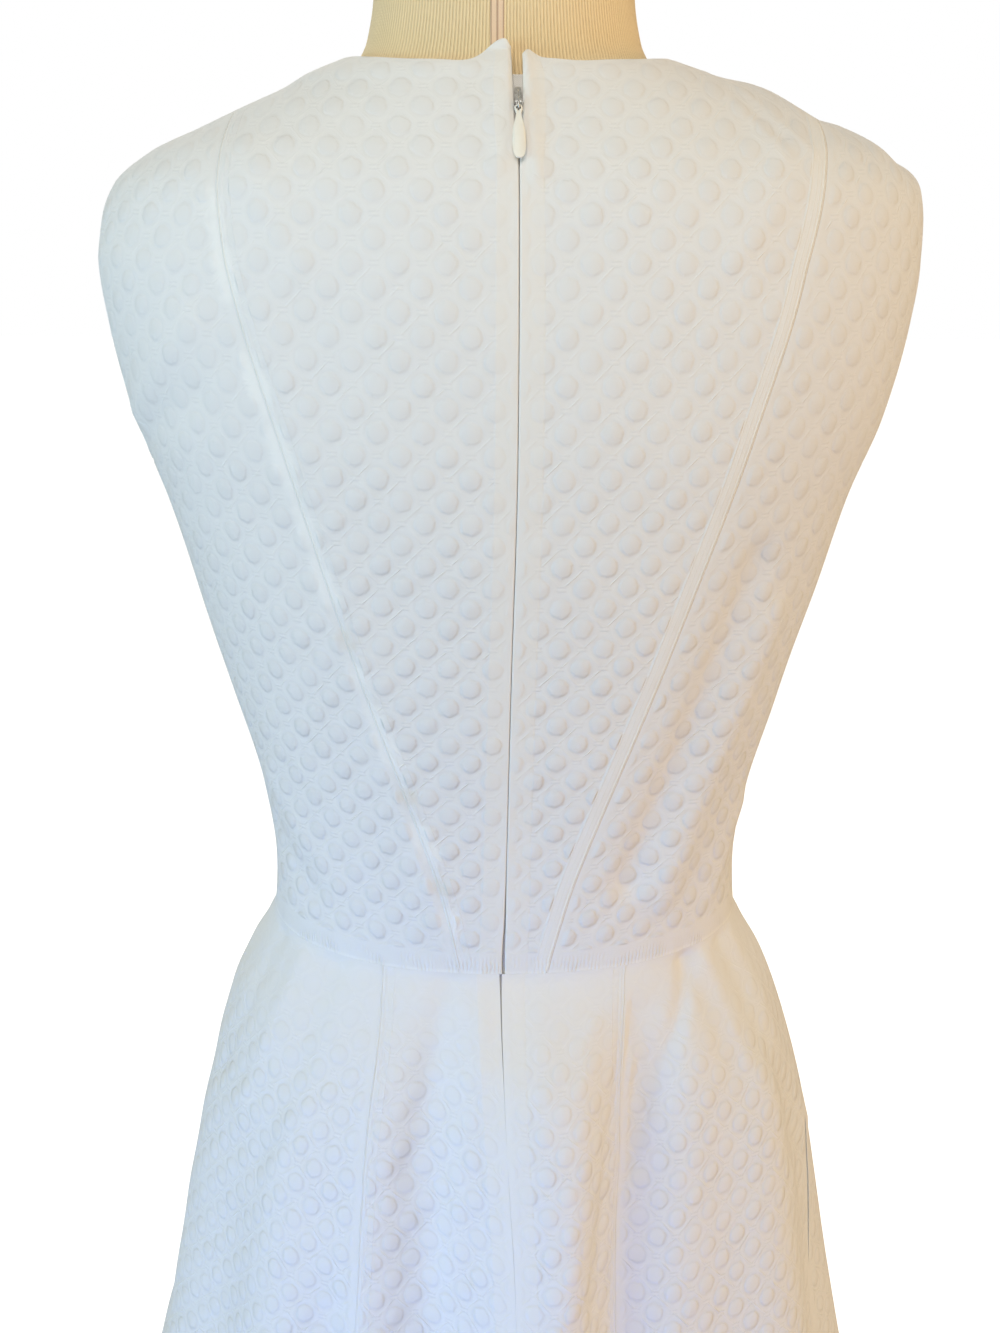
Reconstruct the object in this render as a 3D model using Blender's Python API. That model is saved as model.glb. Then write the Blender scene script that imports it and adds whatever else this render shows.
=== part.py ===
"""A sleeveless fit and flare dress, worn by a limbless dress form on its stand.

Metres, +Z up. The wearer faces -Y, so the zip is at the back, at +Y, and the wearer's left is at +X.
The origin is the middle of the stand's underside, on the floor.

The cloth's outer face is one smooth body: at each height an oval with its own half width, back depth
and front depth. A panel is a piece cut out of that body between its seams, given a wall inwards, and
the skirt's ovals carry folds that grow towards the hem. An azimuth is measured round the oval from
the wearer's left side (0), over the centre back (90) to the right side (180); the front is negative.
Heights of the cloth are measured from the waist seam.
"""
import math

import bmesh
import bpy
from mathutils import Matrix, Vector

# Driving sizes
WAIST_HEIGHT = 1.050  # floor to waist seam
SKIRT_LENGTH = 0.580  # waist seam to hem
WALL = 0.0013  # thickness of the cloth
SEAM_GAP = 0.0003  # between neighbouring pieces
FORM_EASE = 0.0068  # cloth's outer face to the form under it
SHOULDER_EASE = 0.0020  # the same along the shoulders, which carry the dress
SHOULDER_SEAT = (0.386, 0.020)  # height where the shoulders rest on the form, and how far that fades
SEAT_POWER = 8  # how fast that fades round from the sides
FRONT_NECK_EASE = 0.003  # more of it under the front neckline
FRONT_SIDE = 0.3  # sine of the angle where the front begins
NAPE_HEIGHT = 0.4085  # waist seam to the neckline at the centre back
ZIP_CORNER = (0.0055, 0.011)  # how far the neckline rises at the zip, and how wide that corner is
FRONT_NECK_HEIGHT = 0.350
NECK_POINT = (0.0714, 0.413)  # half width and height where neckline and shoulder seam meet
PRINCESS_TOP = 0.1275  # half width where the princess seams meet the shoulder seam
SHOULDER_POINT_HEIGHT = 0.366
UNDERARM_HEIGHT = 0.232
ARM_PLATE = 0.166  # half width across the form's flat arm ends
FORM_BOTTOM = -0.265
NECK_TOP = 0.500  # top of the form's neck above the waist seam
POLE_RADIUS = 0.0125
BASE_RADIUS = 0.175
BASE_THICKNESS = 0.026
EDGE = SEAM_GAP / 2
HALVINGS = 40  # steps of the search for a height on the shoulder
FOLD_DRIFT = 0.08  # depth below the waist over which a fold finds its place at the hem
FOLD_SOFT_START = 0.05  # depth over which a fold rises smoothly out of the waist
SMOOTH_BELOW = 40  # degrees between faces that are shaded as one curve

# Ovals of the cloth's outer face
BODY_COLUMNS = ("height", "half_width", "back", "front", "squareness")
BODY = [
    (-0.600, 0.268, 0.265, 0.262, 2.00),
    (-0.480, 0.243, 0.240, 0.236, 2.00),
    (-0.360, 0.217, 0.213, 0.208, 2.02),
    (-0.280, 0.197, 0.192, 0.187, 2.05),
    (-0.220, 0.184, 0.175, 0.171, 2.08),
    (-0.160, 0.1735, 0.158, 0.155, 2.12),
    (-0.110, 0.1635, 0.142, 0.142, 2.16),
    (-0.070, 0.1530, 0.128, 0.130, 2.20),
    (-0.040, 0.1420, 0.113, 0.117, 2.20),
    (-0.015, 0.1280, 0.096, 0.099, 2.20),
    (0.000, 0.1215, 0.088, 0.091, 2.20),
    (0.030, 0.1195, 0.0895, 0.096, 2.20),
    (0.070, 0.1245, 0.093, 0.105, 2.20),
    (0.120, 0.1365, 0.101, 0.119, 2.20),
    (0.170, 0.1500, 0.109, 0.129, 2.20),
    (0.222, 0.1640, 0.116, 0.126, 2.20),
    (0.260, 0.1775, 0.1185, 0.117, 2.20),
    (0.300, 0.1870, 0.117, 0.105, 2.20),
    (0.325, 0.1895, 0.1135, 0.097, 2.20),
    (0.345, 0.1870, 0.109, 0.089, 2.20),
    (0.360, 0.1810, 0.104, 0.083, 2.20),
    (0.3735, 0.1655, 0.0965, 0.077, 2.20),
    (0.3834, 0.1441, 0.0895, 0.072, 2.20),
    (0.3920, 0.1252, 0.083, 0.067, 2.20),
    (0.4004, 0.1051, 0.0755, 0.062, 2.20),
    (0.4075, 0.0875, 0.069, 0.057, 2.20),
    (0.4130, 0.0714, 0.061, 0.052, 2.20),
]
# The shoulders sit a little to one side: sideways shift of the shoulder's ridge by height
LEAN_COLUMNS = ("height", "shift")
LEAN = [
    (0.330, 0.0),
    (0.360, -0.0030),
    (0.385, -0.0055),
    (0.398, -0.0050),
    (0.4065, 0.0),
    (0.413, 0.0015),
]
# Distance of each seam from the centre, by height
PRINCESS_COLUMNS = ("height", "back", "front")
PRINCESS = [
    (0.000, 0.0215, 0.0520),
    (0.040, 0.0305, 0.0590),
    (0.080, 0.0430, 0.0680),
    (0.140, 0.0630, 0.0830),
    (0.200, 0.0815, 0.0915),
    (0.260, 0.0995, 0.1000),
    (0.320, 0.1170, 0.1130),
    (0.360, 0.1250, 0.1220),
    (0.400, 0.1280, 0.1285),
]
# The centre back seam wanders a little sideways; its two edges part at the neck and at the waist
CENTRE_BACK_COLUMNS = ("height", "sideways", "parting")
CENTRE_BACK = [
    (-0.580, -0.0020, 0.0),
    (-0.150, -0.0010, 0.0),
    (-0.050, 0.0021, 0.0),
    (-0.012, 0.0032, 0.0002),
    (0.006, 0.0033, 0.0006),
    (0.030, 0.0027, 0.0002),
    (0.060, 0.0023, 0.0),
    (0.150, 0.0015, 0.0),
    (0.260, 0.0, 0.0),
    (0.370, 0.0, 0.0001),
    (0.383, 0.0, 0.0013),
    (0.390, 0.0, 0.0018),
    (0.416, 0.0, 0.0026),
]
# Azimuth of the armhole's edge by height, behind and in front
ARMHOLE_COLUMNS = ("height", "back", "front")
ARMHOLE = [
    (UNDERARM_HEIGHT, 0.0, 0.0),
    (0.238, 9.0, 14.0),
    (0.250, 14.0, 24.0),
    (0.275, 17.0, 32.0),
    (0.300, 18.0, 36.0),
    (0.330, 16.5, 33.0),
    (0.352, 11.0, 20.0),
    (SHOULDER_POINT_HEIGHT, 0.0, 0.0),
]
# Rows of every bodice panel, as parts of its height: close together at the armhole and on the shoulder
BODICE_ROWS = (
    0, 0.10, 0.20, 0.30, 0.40, 0.49, 0.57, 0.612, 0.634, 0.655, 0.70, 0.77, 0.84, 0.90, 0.945, 0.975, 0.992, 1,
)
BACK_COLUMNS = (0, 0.04, 0.09, 0.18, 0.31, 0.43, 0.51, 0.56, 0.70, 0.85, 1)  # 0.56 is at the neck point
FRONT_COLUMNS = (0, 0.12, 0.24, 0.36, 0.45, 0.51, 0.537, 0.553, 0.56, 0.70, 0.85, 1)
SIDE_COLUMNS = 7

# Seams of the skirt: azimuths by height, round from the centre back over the wearer's right side
GORE_COLUMNS = ("height", "back_right", "side_right", "front_right", "front_left", "side_left", "back_left")
GORES = [
    (-0.580, 106.5, 157.0, 243.0, 297.0, 357.0, 425.5),
    (-0.200, 106.5, 157.0, 243.0, 297.0, 357.0, 426.0),
    (-0.140, 107.0, 162.0, 242.0, 298.0, 357.0, 426.0),
    (-0.090, 108.3, 170.0, 241.0, 299.0, 358.0, 425.6),
    (-0.040, 111.0, 178.0, 240.5, 299.5, 360.0, 424.6),
    (0.000, 116.0, 180.0, 240.0, 300.0, 360.0, 421.0),
]
GORE_NAMES = (
    "skirt_back_right", "skirt_side_back_right", "skirt_side_front_right", "skirt_front",
    "skirt_side_front_left", "skirt_side_back_left", "skirt_back_left",
)
GORE_CELLS = (8, 15, 16, 14, 16, 17, 8)
SKIRT_ROWS = (0, 0.010, 0.022, 0.038, 0.06, 0.09, 0.13, 0.17, 0.22, 0.28, 0.34, 0.42, 0.50, 0.58)
# In-seam pockets: where the side seams' edges part, below the waist seam
POCKET_TOP = 0.085
POCKET_BOTTOM = 0.190
POCKET_PARTING = 0.0016
# Folds of the skirt: ridges rise, hollows have a negative rise
# Azimuth at the waist, azimuth at the hem, half width in degrees, start below the waist, power by which the
# fold opens on its way down, rise at the hem
FOLDS = [
    (95, 95.5, 8.5, 0.00, 0.27, 0.027),
    (126, 102, 6.0, 0.00, 0.27, -0.018),
    (137.5, 114, 8.0, 0.01, 0.30, 0.005),
    (152, 136, 10.0, 0.02, 0.45, 0.021),
    (153, 154, 6.0, 0.04, 0.85, -0.012),
    (168, 170, 8.0, 0.03, 0.85, 0.005),
    (184, 184, 7.5, 0.04, 0.85, -0.012),
    (198, 199, 8.5, 0.03, 0.85, 0.014),
    (213, 214, 8.0, 0.05, 0.85, -0.013),
    (228, 228, 8.0, 0.02, 0.70, 0.017),
    (243, 242, 7.5, 0.06, 0.70, -0.015),
    (257, 257, 8.0, 0.03, 0.60, 0.018),
    (272, 271, 8.0, 0.02, 0.50, -0.018),
    (287, 287, 8.0, 0.03, 0.60, 0.018),
    (301, 302, 7.5, 0.05, 0.70, -0.015),
    (316, 316, 8.0, 0.02, 0.70, 0.017),
    (331, 331, 8.0, 0.06, 0.85, -0.013),
    (346, 346, 8.0, 0.02, 0.85, 0.013),
    (362, 361, 7.0, 0.04, 0.85, -0.011),
    (378, 378, 8.0, 0.05, 0.85, 0.013),
    (395, 394, 7.0, 0.03, 0.85, -0.012),
    (409, 410, 7.0, 0.03, 0.70, 0.013),
    (420, 421, 4.5, 0.12, 0.60, -0.017),
    (430, 428, 5.5, 0.02, 0.60, 0.010),
    (436.5, 436, 6.0, 0.00, 0.30, -0.013),
]
# The bust, shaped by the front princess seams
BUST_AZIMUTH = 60.0
BUST_HEIGHT = 0.172
BUST_RISE = 0.009
BUST_SPREAD = (17.0, 0.050)

# The zip: the slider stands in the open top of the centre back seam
ZIP_DEPTH = 0.170  # how far the zip runs below the waist seam
TAPE_HALF_WIDTH = 0.007
TAPE_THICKNESS = 0.0008
TAPE_DEPTH = 0.0022  # cloth's outer face to the tape's outer face
SLIDER_BOTTOM, SLIDER_TOP = 0.3889, 0.4005
SLIDER_HALF_WIDTH = 0.00135
SLIDER_THICKNESS = 0.0013
SLIDER_BEVEL = 0.0003
SLIDER_FACE = 0.0003  # cloth's outer face to the slider's, sunk in the seam's opening
EAR_INNER, EAR_OUTER = 0.0008, 0.00125  # from the middle, the two ears that hold the pin
EAR_BELOW, EAR_ABOVE = 0.0009, 0.0011  # from the pin
PIN_HEIGHT = 0.3914
PIN_STAND_OFF = 0.0023  # the pull's pin above the cloth's outer face
SLOPE_LENGTH = 0.016  # the slider leans with the cloth's slope over this much below the pin
PIN_RADIUS = 0.00045
PIN_LENGTH = 0.0022
LINK_RADIUS = 0.0014  # middle of the wire round the pin
LINK_WIRE = 0.0004
LINK_LENGTH = 0.0021  # pin to the middle of the link's lower bend
PULL_LENGTH = 0.0238
PULL_HALF_WIDTH = 0.0027
PULL_HALF_THICKNESS = 0.0006
PULL_TOP_HALF_WIDTH = 0.0019
PULL_TOP = 0.0018  # eye to the tab's top
PULL_ROUNDNESS = 0.75
EYE_RADIUS = 0.0010

# The form: hips under the skirt and neck above the cloth, as height, half width, back depth, front depth
NECK_SHIFT = 0.0035  # the neck's middle, towards the wearer's left
FORM_HIPS = [
    (FORM_BOTTOM, 0.1480, 0.100, 0.084),
    (-0.245, 0.1560, 0.108, 0.089),
    (-0.200, 0.1600, 0.114, 0.092),
    (-0.150, 0.1580, 0.115, 0.093),
    (-0.100, 0.1470, 0.107, 0.092),
    (-0.060, 0.1330, 0.096, 0.089),
    (-0.025, 0.1190, 0.085, 0.086),
]
FORM_NECK = [
    (0.4110, 0.0650, 0.0570, 0.0475),
    (0.4190, 0.0610, 0.0550, 0.0470),
    (0.4380, 0.0575, 0.0525, 0.0470),
    (0.4600, 0.0565, 0.0515, 0.0470),
    (NECK_TOP, 0.0565, 0.0510, 0.0480),
]
FORM_BODY_HEIGHTS = (
    0.0, 0.04, 0.09, 0.14, 0.19, 0.235, 0.27, 0.31, 0.34, 0.36, 0.376, 0.389, 0.3985, 0.4060,
)
FORM_SEGMENTS = 36
NECK_CAP = ((-0.003, 0.0), (0.0, 0.003), (0.0, 0.008), (-0.006, 0.0125), (-0.022, 0.0155))  # growth, lift

# The stand
BASE_COLLAR_TOP = 0.045
BASE_PROFILE = (  # radius, height
    (BASE_RADIUS, 0.0), (BASE_RADIUS, 0.010), (BASE_RADIUS - 0.004, 0.014), (0.060, 0.021),
    (0.034, BASE_THICKNESS), (0.026, BASE_COLLAR_TOP),
)
FLANGE_RADII = (0.022, 0.055)
FLANGE_HEIGHTS = (0.0, 0.003, 0.008)  # bottom, edge of the dish, top


def tangents(heights, values):
    """Slopes of a smooth curve through the points that never overshoots them."""
    count = len(heights)
    secants = [(values[i + 1] - values[i]) / (heights[i + 1] - heights[i]) for i in range(count - 1)]
    slopes = [secants[0]]
    for before, after in zip(secants, secants[1:]):
        slopes.append(0.0 if before * after <= 0 else 2 * before * after / (before + after))
    return slopes + [secants[-1]]


def curve(table, columns, name):
    """The named column of a table as a smooth function of its first column."""
    column = columns.index(name)
    heights = [row[0] for row in table]
    values = [row[column] for row in table]
    slopes = tangents(heights, values)

    def at(height):
        height = min(max(height, heights[0]), heights[-1])
        i = next((k for k in range(len(heights) - 2) if height <= heights[k + 1]), len(heights) - 2)
        step = heights[i + 1] - heights[i]
        t = (height - heights[i]) / step
        return (
            values[i] * (1 + 2 * t) * (1 - t) ** 2
            + slopes[i] * step * t * (1 - t) ** 2
            + values[i + 1] * t * t * (3 - 2 * t)
            - slopes[i + 1] * step * t * t * (1 - t)
        )

    return at


half_width, back_depth, front_depth, squareness = (curve(BODY, BODY_COLUMNS, name) for name in BODY_COLUMNS[1:])
lean = curve(LEAN, LEAN_COLUMNS, "shift")
back_princess, front_princess = (curve(PRINCESS, PRINCESS_COLUMNS, name) for name in PRINCESS_COLUMNS[1:])
sideways, parting = (curve(CENTRE_BACK, CENTRE_BACK_COLUMNS, name) for name in CENTRE_BACK_COLUMNS[1:])
armhole_back, armhole_front = (curve(ARMHOLE, ARMHOLE_COLUMNS, name) for name in ARMHOLE_COLUMNS[1:])
gore_seams = [curve(GORES, GORE_COLUMNS, name) for name in GORE_COLUMNS[1:]]


def power(value, exponent):
    return math.copysign(abs(value) ** exponent, value)


def growth(height, start, opening):
    """How far a fold has opened, from 0 where it starts to 1 at the hem."""
    below = max(0.0, -height - start)
    soft = min(1.0, below / FOLD_SOFT_START)
    return (below / (SKIRT_LENGTH - start)) ** opening * soft * soft * (3 - 2 * soft)


def fold_rise(azimuth, height):
    turn = math.degrees(azimuth)
    drift = 1 - math.exp(height / FOLD_DRIFT)
    rise = 0.0
    for at_waist, at_hem, width, start, opening, depth in FOLDS:
        away = (turn - at_waist - (at_hem - at_waist) * drift + 180) % 360 - 180
        rise += depth * growth(height, start, opening) * math.exp(-((away / width) ** 2))
    return rise


def bust_rise(azimuth, height):
    turn = -math.degrees(azimuth)
    rise = sum(math.exp(-(((turn - centre) / BUST_SPREAD[0]) ** 2)) for centre in (BUST_AZIMUTH, 180 - BUST_AZIMUTH))
    return BUST_RISE * rise * math.exp(-(((height - BUST_HEIGHT) / BUST_SPREAD[1]) ** 2))


def cloth(azimuth, height):
    """The cloth's outer face, with height above the waist seam."""
    cosine, sine = math.cos(azimuth), math.sin(azimuth)
    exponent = 2 / squareness(height)
    depth = back_depth(height) if sine >= 0 else front_depth(height)
    point = Vector((half_width(height) * power(cosine, exponent), depth * power(sine, exponent), 0))
    rise = fold_rise(azimuth, height) if height < 0 else bust_rise(azimuth, height)
    point += point.normalized() * rise
    return point + Vector((lean(height) * abs(cosine), 0, height))


def outward(azimuth, height, step=0.004):
    """The direction out of the cloth at a place on it."""
    across = cloth(azimuth + step, height) - cloth(azimuth - step, height)
    up = cloth(azimuth, height + step * 0.25) - cloth(azimuth, height - step * 0.25)
    return across.cross(up).normalized()


def edge_turn(height):
    """Half the seam gap as an azimuth, at the tip of the oval, where the side and shoulder seams are."""
    return (EDGE / back_depth(height)) ** (squareness(height) / 2)


def azimuth_at(offset, height):
    """Azimuth, from the side, of a point at this distance from the centre."""
    ratio = max(-1.0, min(1.0, offset / half_width(height)))
    return max(edge_turn(height), math.acos(power(ratio, squareness(height) / 2)))


def ridge_height(offset):
    """Height of the shoulder's ridge at this distance from the centre."""
    low, high = SHOULDER_POINT_HEIGHT, NECK_POINT[1]
    for _ in range(HALVINGS):
        middle = (low + high) / 2
        low, high = (middle, high) if half_width(middle) > offset else (low, middle)
    return (low + high) / 2


def top_height(offset, behind):
    """Height of a centre panel's top edge: the neckline, then the shoulder seam."""
    if offset >= NECK_POINT[0]:
        return ridge_height(offset)
    part = offset / NECK_POINT[0]
    if behind:
        rise, reach = ZIP_CORNER
        corner = rise * max(0.0, 1 - offset / reach) ** 1.5
        return NAPE_HEIGHT + (NECK_POINT[1] - NAPE_HEIGHT) * part**2 + corner
    return FRONT_NECK_HEIGHT + (NECK_POINT[1] - FRONT_NECK_HEIGHT) * (1 - math.sqrt(1 - part**2))


PRINCESS_TOP_HEIGHT = ridge_height(PRINCESS_TOP)


def material(name, colour, roughness, metallic=0.0):
    made = bpy.data.materials.new(name)
    made.use_nodes = True
    shader = made.node_tree.nodes["Principled BSDF"]
    shader.inputs["Base Color"].default_value = (*colour, 1.0)
    shader.inputs["Roughness"].default_value = roughness
    shader.inputs["Metallic"].default_value = metallic
    return made


def finish(mesh_data, name, made_of, smooth=True):
    """Turns a bmesh into a named object with its faces pointing out."""
    bmesh.ops.recalc_face_normals(mesh_data, faces=mesh_data.faces)
    mesh = bpy.data.meshes.new(name)
    mesh_data.to_mesh(mesh)
    mesh_data.free()
    mesh.materials.append(made_of)
    if smooth:
        mesh.shade_smooth()
        mesh.set_sharp_from_angle(angle=math.radians(SMOOTH_BELOW))
    piece = bpy.data.objects.new(name, mesh)
    bpy.context.collection.objects.link(piece)
    return piece


def wall(name, places, made_of, thickness=WALL, sunk=0.0):
    """A closed wall of cloth through rows of (azimuth, height) places, thickened inwards."""
    shell = bmesh.new()
    lift = Vector((0, 0, WAIST_HEIGHT))
    faces = []
    for depth in (sunk, sunk + thickness):
        faces.append([[shell.verts.new(cloth(a, h) - outward(a, h) * depth + lift) for a, h in row] for row in places])
    rows, columns = len(places), len(places[0])
    for side, grid in enumerate(faces):
        for i in range(rows - 1):
            for j in range(columns - 1):
                corners = [grid[i][j], grid[i][j + 1], grid[i + 1][j + 1], grid[i + 1][j]]
                shell.faces.new(corners if side == 0 else corners[::-1])
    rim = [(0, j) for j in range(columns)] + [(i, columns - 1) for i in range(1, rows)]
    rim += [(rows - 1, j) for j in range(columns - 2, -1, -1)] + [(i, 0) for i in range(rows - 2, 0, -1)]
    outer, inner = faces
    for (i, j), (k, m) in zip(rim, rim[1:] + rim[:1]):
        shell.faces.new([outer[k][m], outer[i][j], inner[i][j], inner[k][m]])
    return finish(shell, name, made_of)


def centre_back_panel(side):
    """Between the zip and a back princess seam, up to the neckline and the shoulder seam."""
    places = []
    for part in BODICE_ROWS:
        row = []
        for column in BACK_COLUMNS:
            height = part * top_height(column * PRINCESS_TOP, True)
            height = max(height, EDGE)
            seam = back_princess(part * PRINCESS_TOP_HEIGHT)
            opening = EDGE + parting(height) * (1 - column) ** 4
            offset = opening + column * (seam - EDGE - opening) + side * sideways(height)
            azimuth = azimuth_at(offset, height)
            row.append((azimuth if side > 0 else math.pi - azimuth, height))
        places.append(row)
    return places


def side_back_panel(side):
    """Between a back princess seam and the side seam, up to the armhole and the shoulder seam."""
    places = []
    for part in BODICE_ROWS:
        inner_height = max(EDGE, part * PRINCESS_TOP_HEIGHT)
        outer_height = max(EDGE, part * SHOULDER_POINT_HEIGHT)
        offset = back_princess(inner_height) + EDGE + side * sideways(inner_height)
        start = azimuth_at(offset, inner_height)
        end = max(edge_turn(outer_height), math.radians(armhole_back(outer_height)))
        row = []
        for column in range(SIDE_COLUMNS + 1):
            share = column / SIDE_COLUMNS
            azimuth = start + (end - start) * share
            height = inner_height + (outer_height - inner_height) * share
            row.append((azimuth if side > 0 else math.pi - azimuth, height))
        places.append(row)
    return places


def front_panel():
    """The whole front between the front princess seams, cut on the fold."""
    columns = [-c for c in FRONT_COLUMNS[:0:-1]] + list(FRONT_COLUMNS)
    places = []
    for part in BODICE_ROWS:
        row = []
        for column in columns:
            height = max(EDGE, part * top_height(abs(column) * PRINCESS_TOP, False))
            offset = abs(column) * (front_princess(part * PRINCESS_TOP_HEIGHT) - EDGE)
            azimuth = azimuth_at(offset, height)
            row.append((-azimuth if column >= 0 else azimuth - math.pi, height))
        places.append(row)
    return places


def side_front_panel(side):
    """Between a front princess seam and the side seam, up to the armhole and the shoulder seam."""
    places = []
    for part in BODICE_ROWS:
        inner_height = max(EDGE, part * PRINCESS_TOP_HEIGHT)
        outer_height = max(EDGE, part * SHOULDER_POINT_HEIGHT)
        start = azimuth_at(front_princess(inner_height) + EDGE, inner_height)
        end = max(edge_turn(outer_height), math.radians(armhole_front(outer_height)))
        row = []
        for column in range(SIDE_COLUMNS + 1):
            share = column / SIDE_COLUMNS
            azimuth = start + (end - start) * share
            height = inner_height + (outer_height - inner_height) * share
            row.append((-azimuth if side > 0 else azimuth - math.pi, height))
        places.append(row)
    return places


def pocket_parting(depth):
    """Half the opening between a side seam's edges at this depth below the waist seam."""
    part = (depth - POCKET_TOP) / (POCKET_BOTTOM - POCKET_TOP)
    return POCKET_PARTING * math.sin(math.pi * part) ** 0.7 if 0 < part < 1 else 0.0


def centre_back_azimuth(height, side):
    offset = sideways(height) * side + EDGE + parting(height)
    turn = math.acos(max(-1.0, min(1.0, offset / half_width(height))))
    return turn if side > 0 else math.pi - turn


def gore(index):
    """One skirt panel, between two of the skirt's seams."""
    places = []
    for depth in SKIRT_ROWS:
        height = min(-depth, -EDGE)
        radius = (half_width(height) + back_depth(height)) / 2
        ends = []
        for number, side in ((index - 1, 1), (index, -1)):
            if number < 0:
                ends.append(centre_back_azimuth(height, -1))
            elif number >= len(gore_seams):
                ends.append(centre_back_azimuth(height, 1) + 2 * math.pi)
            else:
                pocket = pocket_parting(depth) if "side" in GORE_COLUMNS[number + 1] else 0.0
                ends.append(math.radians(gore_seams[number](height)) + side * (EDGE + pocket) / radius)
        cells = GORE_CELLS[index]
        places.append([(ends[0] + (ends[1] - ends[0]) * j / cells, height) for j in range(cells + 1)])
    return places


def stack(name, rings, made_of):
    """A closed solid through rings of points, each with the same count, capped at both ends."""
    solid = bmesh.new()
    loops = [[solid.verts.new(point) for point in ring] for ring in rings]
    for lower, upper in zip(loops, loops[1:]):
        for i in range(len(lower)):
            k = (i + 1) % len(lower)
            solid.faces.new([lower[i], lower[k], upper[k], upper[i]])
    solid.faces.new(loops[0][::-1])
    solid.faces.new(loops[-1])
    return finish(solid, name, made_of)


def oval(across, behind, before, height, shift=0.0, exponent=2.2, count=FORM_SEGMENTS):
    ring = []
    for step in range(count):
        angle = 2 * math.pi * step / count
        cosine, sine = math.cos(angle), math.sin(angle)
        depth = behind if sine >= 0 else before
        place = (shift + across * power(cosine, 2 / exponent), depth * power(sine, 2 / exponent), height)
        ring.append(Vector(place))
    return ring


def form_ease(angle, height):
    """Room between the cloth's outer face and the form: least along the shoulders."""
    if height > FRONT_NECK_HEIGHT and math.sin(angle) < -FRONT_SIDE:
        return FORM_EASE + FRONT_NECK_EASE
    middle, reach = SHOULDER_SEAT
    seat = math.cos(angle) ** SEAT_POWER * math.exp(-(((height - middle) / reach) ** 2))
    return FORM_EASE + (SHOULDER_EASE - FORM_EASE) * seat


def form_torso(made_of):
    """The padded body: hips, then just inside the cloth up to the shoulders, then the neck."""
    rings = [oval(w, b, f, h + WAIST_HEIGHT) for h, w, b, f in FORM_HIPS]
    for height in FORM_BODY_HEIGHTS:
        ring = []
        for step in range(FORM_SEGMENTS):
            angle = 2 * math.pi * step / FORM_SEGMENTS
            point = cloth(angle, height) - outward(angle, max(height, 0.001)) * form_ease(angle, height)
            point.x = max(-ARM_PLATE, min(ARM_PLATE, point.x))
            point.z += WAIST_HEIGHT
            ring.append(point)
        rings.append(ring)
    rings += [oval(w, b, f, h + WAIST_HEIGHT, NECK_SHIFT) for h, w, b, f in FORM_NECK]
    return stack("form_torso", rings, made_of)


def turned(name, profile, made_of, segments=36):
    """A solid turned about the Z axis from (radius, height) pairs, from the bottom up."""
    rings = []
    for radius, height in profile:
        angles = [2 * math.pi * i / segments for i in range(segments)]
        rings.append([Vector((radius * math.cos(a), radius * math.sin(a), height)) for a in angles])
    return stack(name, rings, made_of)


def neck_cap(made_of):
    """A turned wooden disc that closes the neck."""
    top, across, behind, before = FORM_NECK[-1]
    bottom = WAIST_HEIGHT + top + SEAM_GAP
    rings = [oval(across + grow, behind + grow, before + grow, bottom + lift, NECK_SHIFT) for grow, lift in NECK_CAP]
    return stack("form_neck_cap", rings, made_of)


def stand(iron, steel):
    """A round iron base, the pole that rises from it and the flange that carries the form."""
    turned("stand_base", BASE_PROFILE, iron, 48)
    flange_bottom = WAIST_HEIGHT + FORM_BOTTOM - SEAM_GAP - FLANGE_HEIGHTS[-1]
    pole_ends = (BASE_COLLAR_TOP + SEAM_GAP, flange_bottom - SEAM_GAP)
    turned("stand_pole", [(POLE_RADIUS, end) for end in pole_ends], steel, 24)
    radii = (FLANGE_RADII[0], FLANGE_RADII[1], FLANGE_RADII[1])
    turned("stand_flange", [(r, flange_bottom + h) for r, h in zip(radii, FLANGE_HEIGHTS)], iron, 32)


def zip_tape(made_of):
    """The zip's tape and closed coil, one strip behind the centre back seam."""
    heights = [-depth for depth in SKIRT_ROWS[::-1] if 0 < depth <= ZIP_DEPTH]
    heights += [part * NAPE_HEIGHT for part in BODICE_ROWS[:-1]]
    places = []
    for height in heights:
        row = []
        for part in (-1, -0.4, 0, 0.4, 1):
            offset = sideways(height) - part * TAPE_HALF_WIDTH
            ratio = max(-1.0, min(1.0, offset / half_width(height)))
            row.append((math.acos(power(ratio, squareness(height) / 2)), height))
        places.append(row)
    return wall("zip_tape", places, made_of, TAPE_THICKNESS, TAPE_DEPTH)


def zip_frame():
    """Axes at the slider's pin: X across, Z up along the cloth, Y out of it."""
    place = cloth(math.pi / 2, PIN_HEIGHT)
    below = cloth(math.pi / 2, PIN_HEIGHT - SLOPE_LENGTH)
    up = (place - below).normalized()
    across = Vector((1, 0, 0))
    out = up.cross(across).normalized()
    middle = place + out * PIN_STAND_OFF + Vector((0, 0, WAIST_HEIGHT))
    turn = Matrix((across, out, up)).transposed()
    return middle, turn


def box(low, high):
    """A small closed block between two corners."""
    block = bmesh.new()
    bmesh.ops.create_cube(block, size=1.0)
    for vert in block.verts:
        vert.co = Vector([low[i] + (vert.co[i] + 0.5) * (high[i] - low[i]) for i in range(3)])
    return block


def joined(name, parts, made_of):
    """One closed body out of overlapping blocks, by Boolean union."""
    whole = finish(parts[0], name, made_of, smooth=False)
    for extra in parts[1:]:
        tool = finish(extra, name + "_tool", made_of, smooth=False)
        union = whole.modifiers.new("union", "BOOLEAN")
        union.operation = "UNION"
        union.object = tool
        tool.hide_render = True
        tool.display_type = "WIRE"
    return whole


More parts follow.
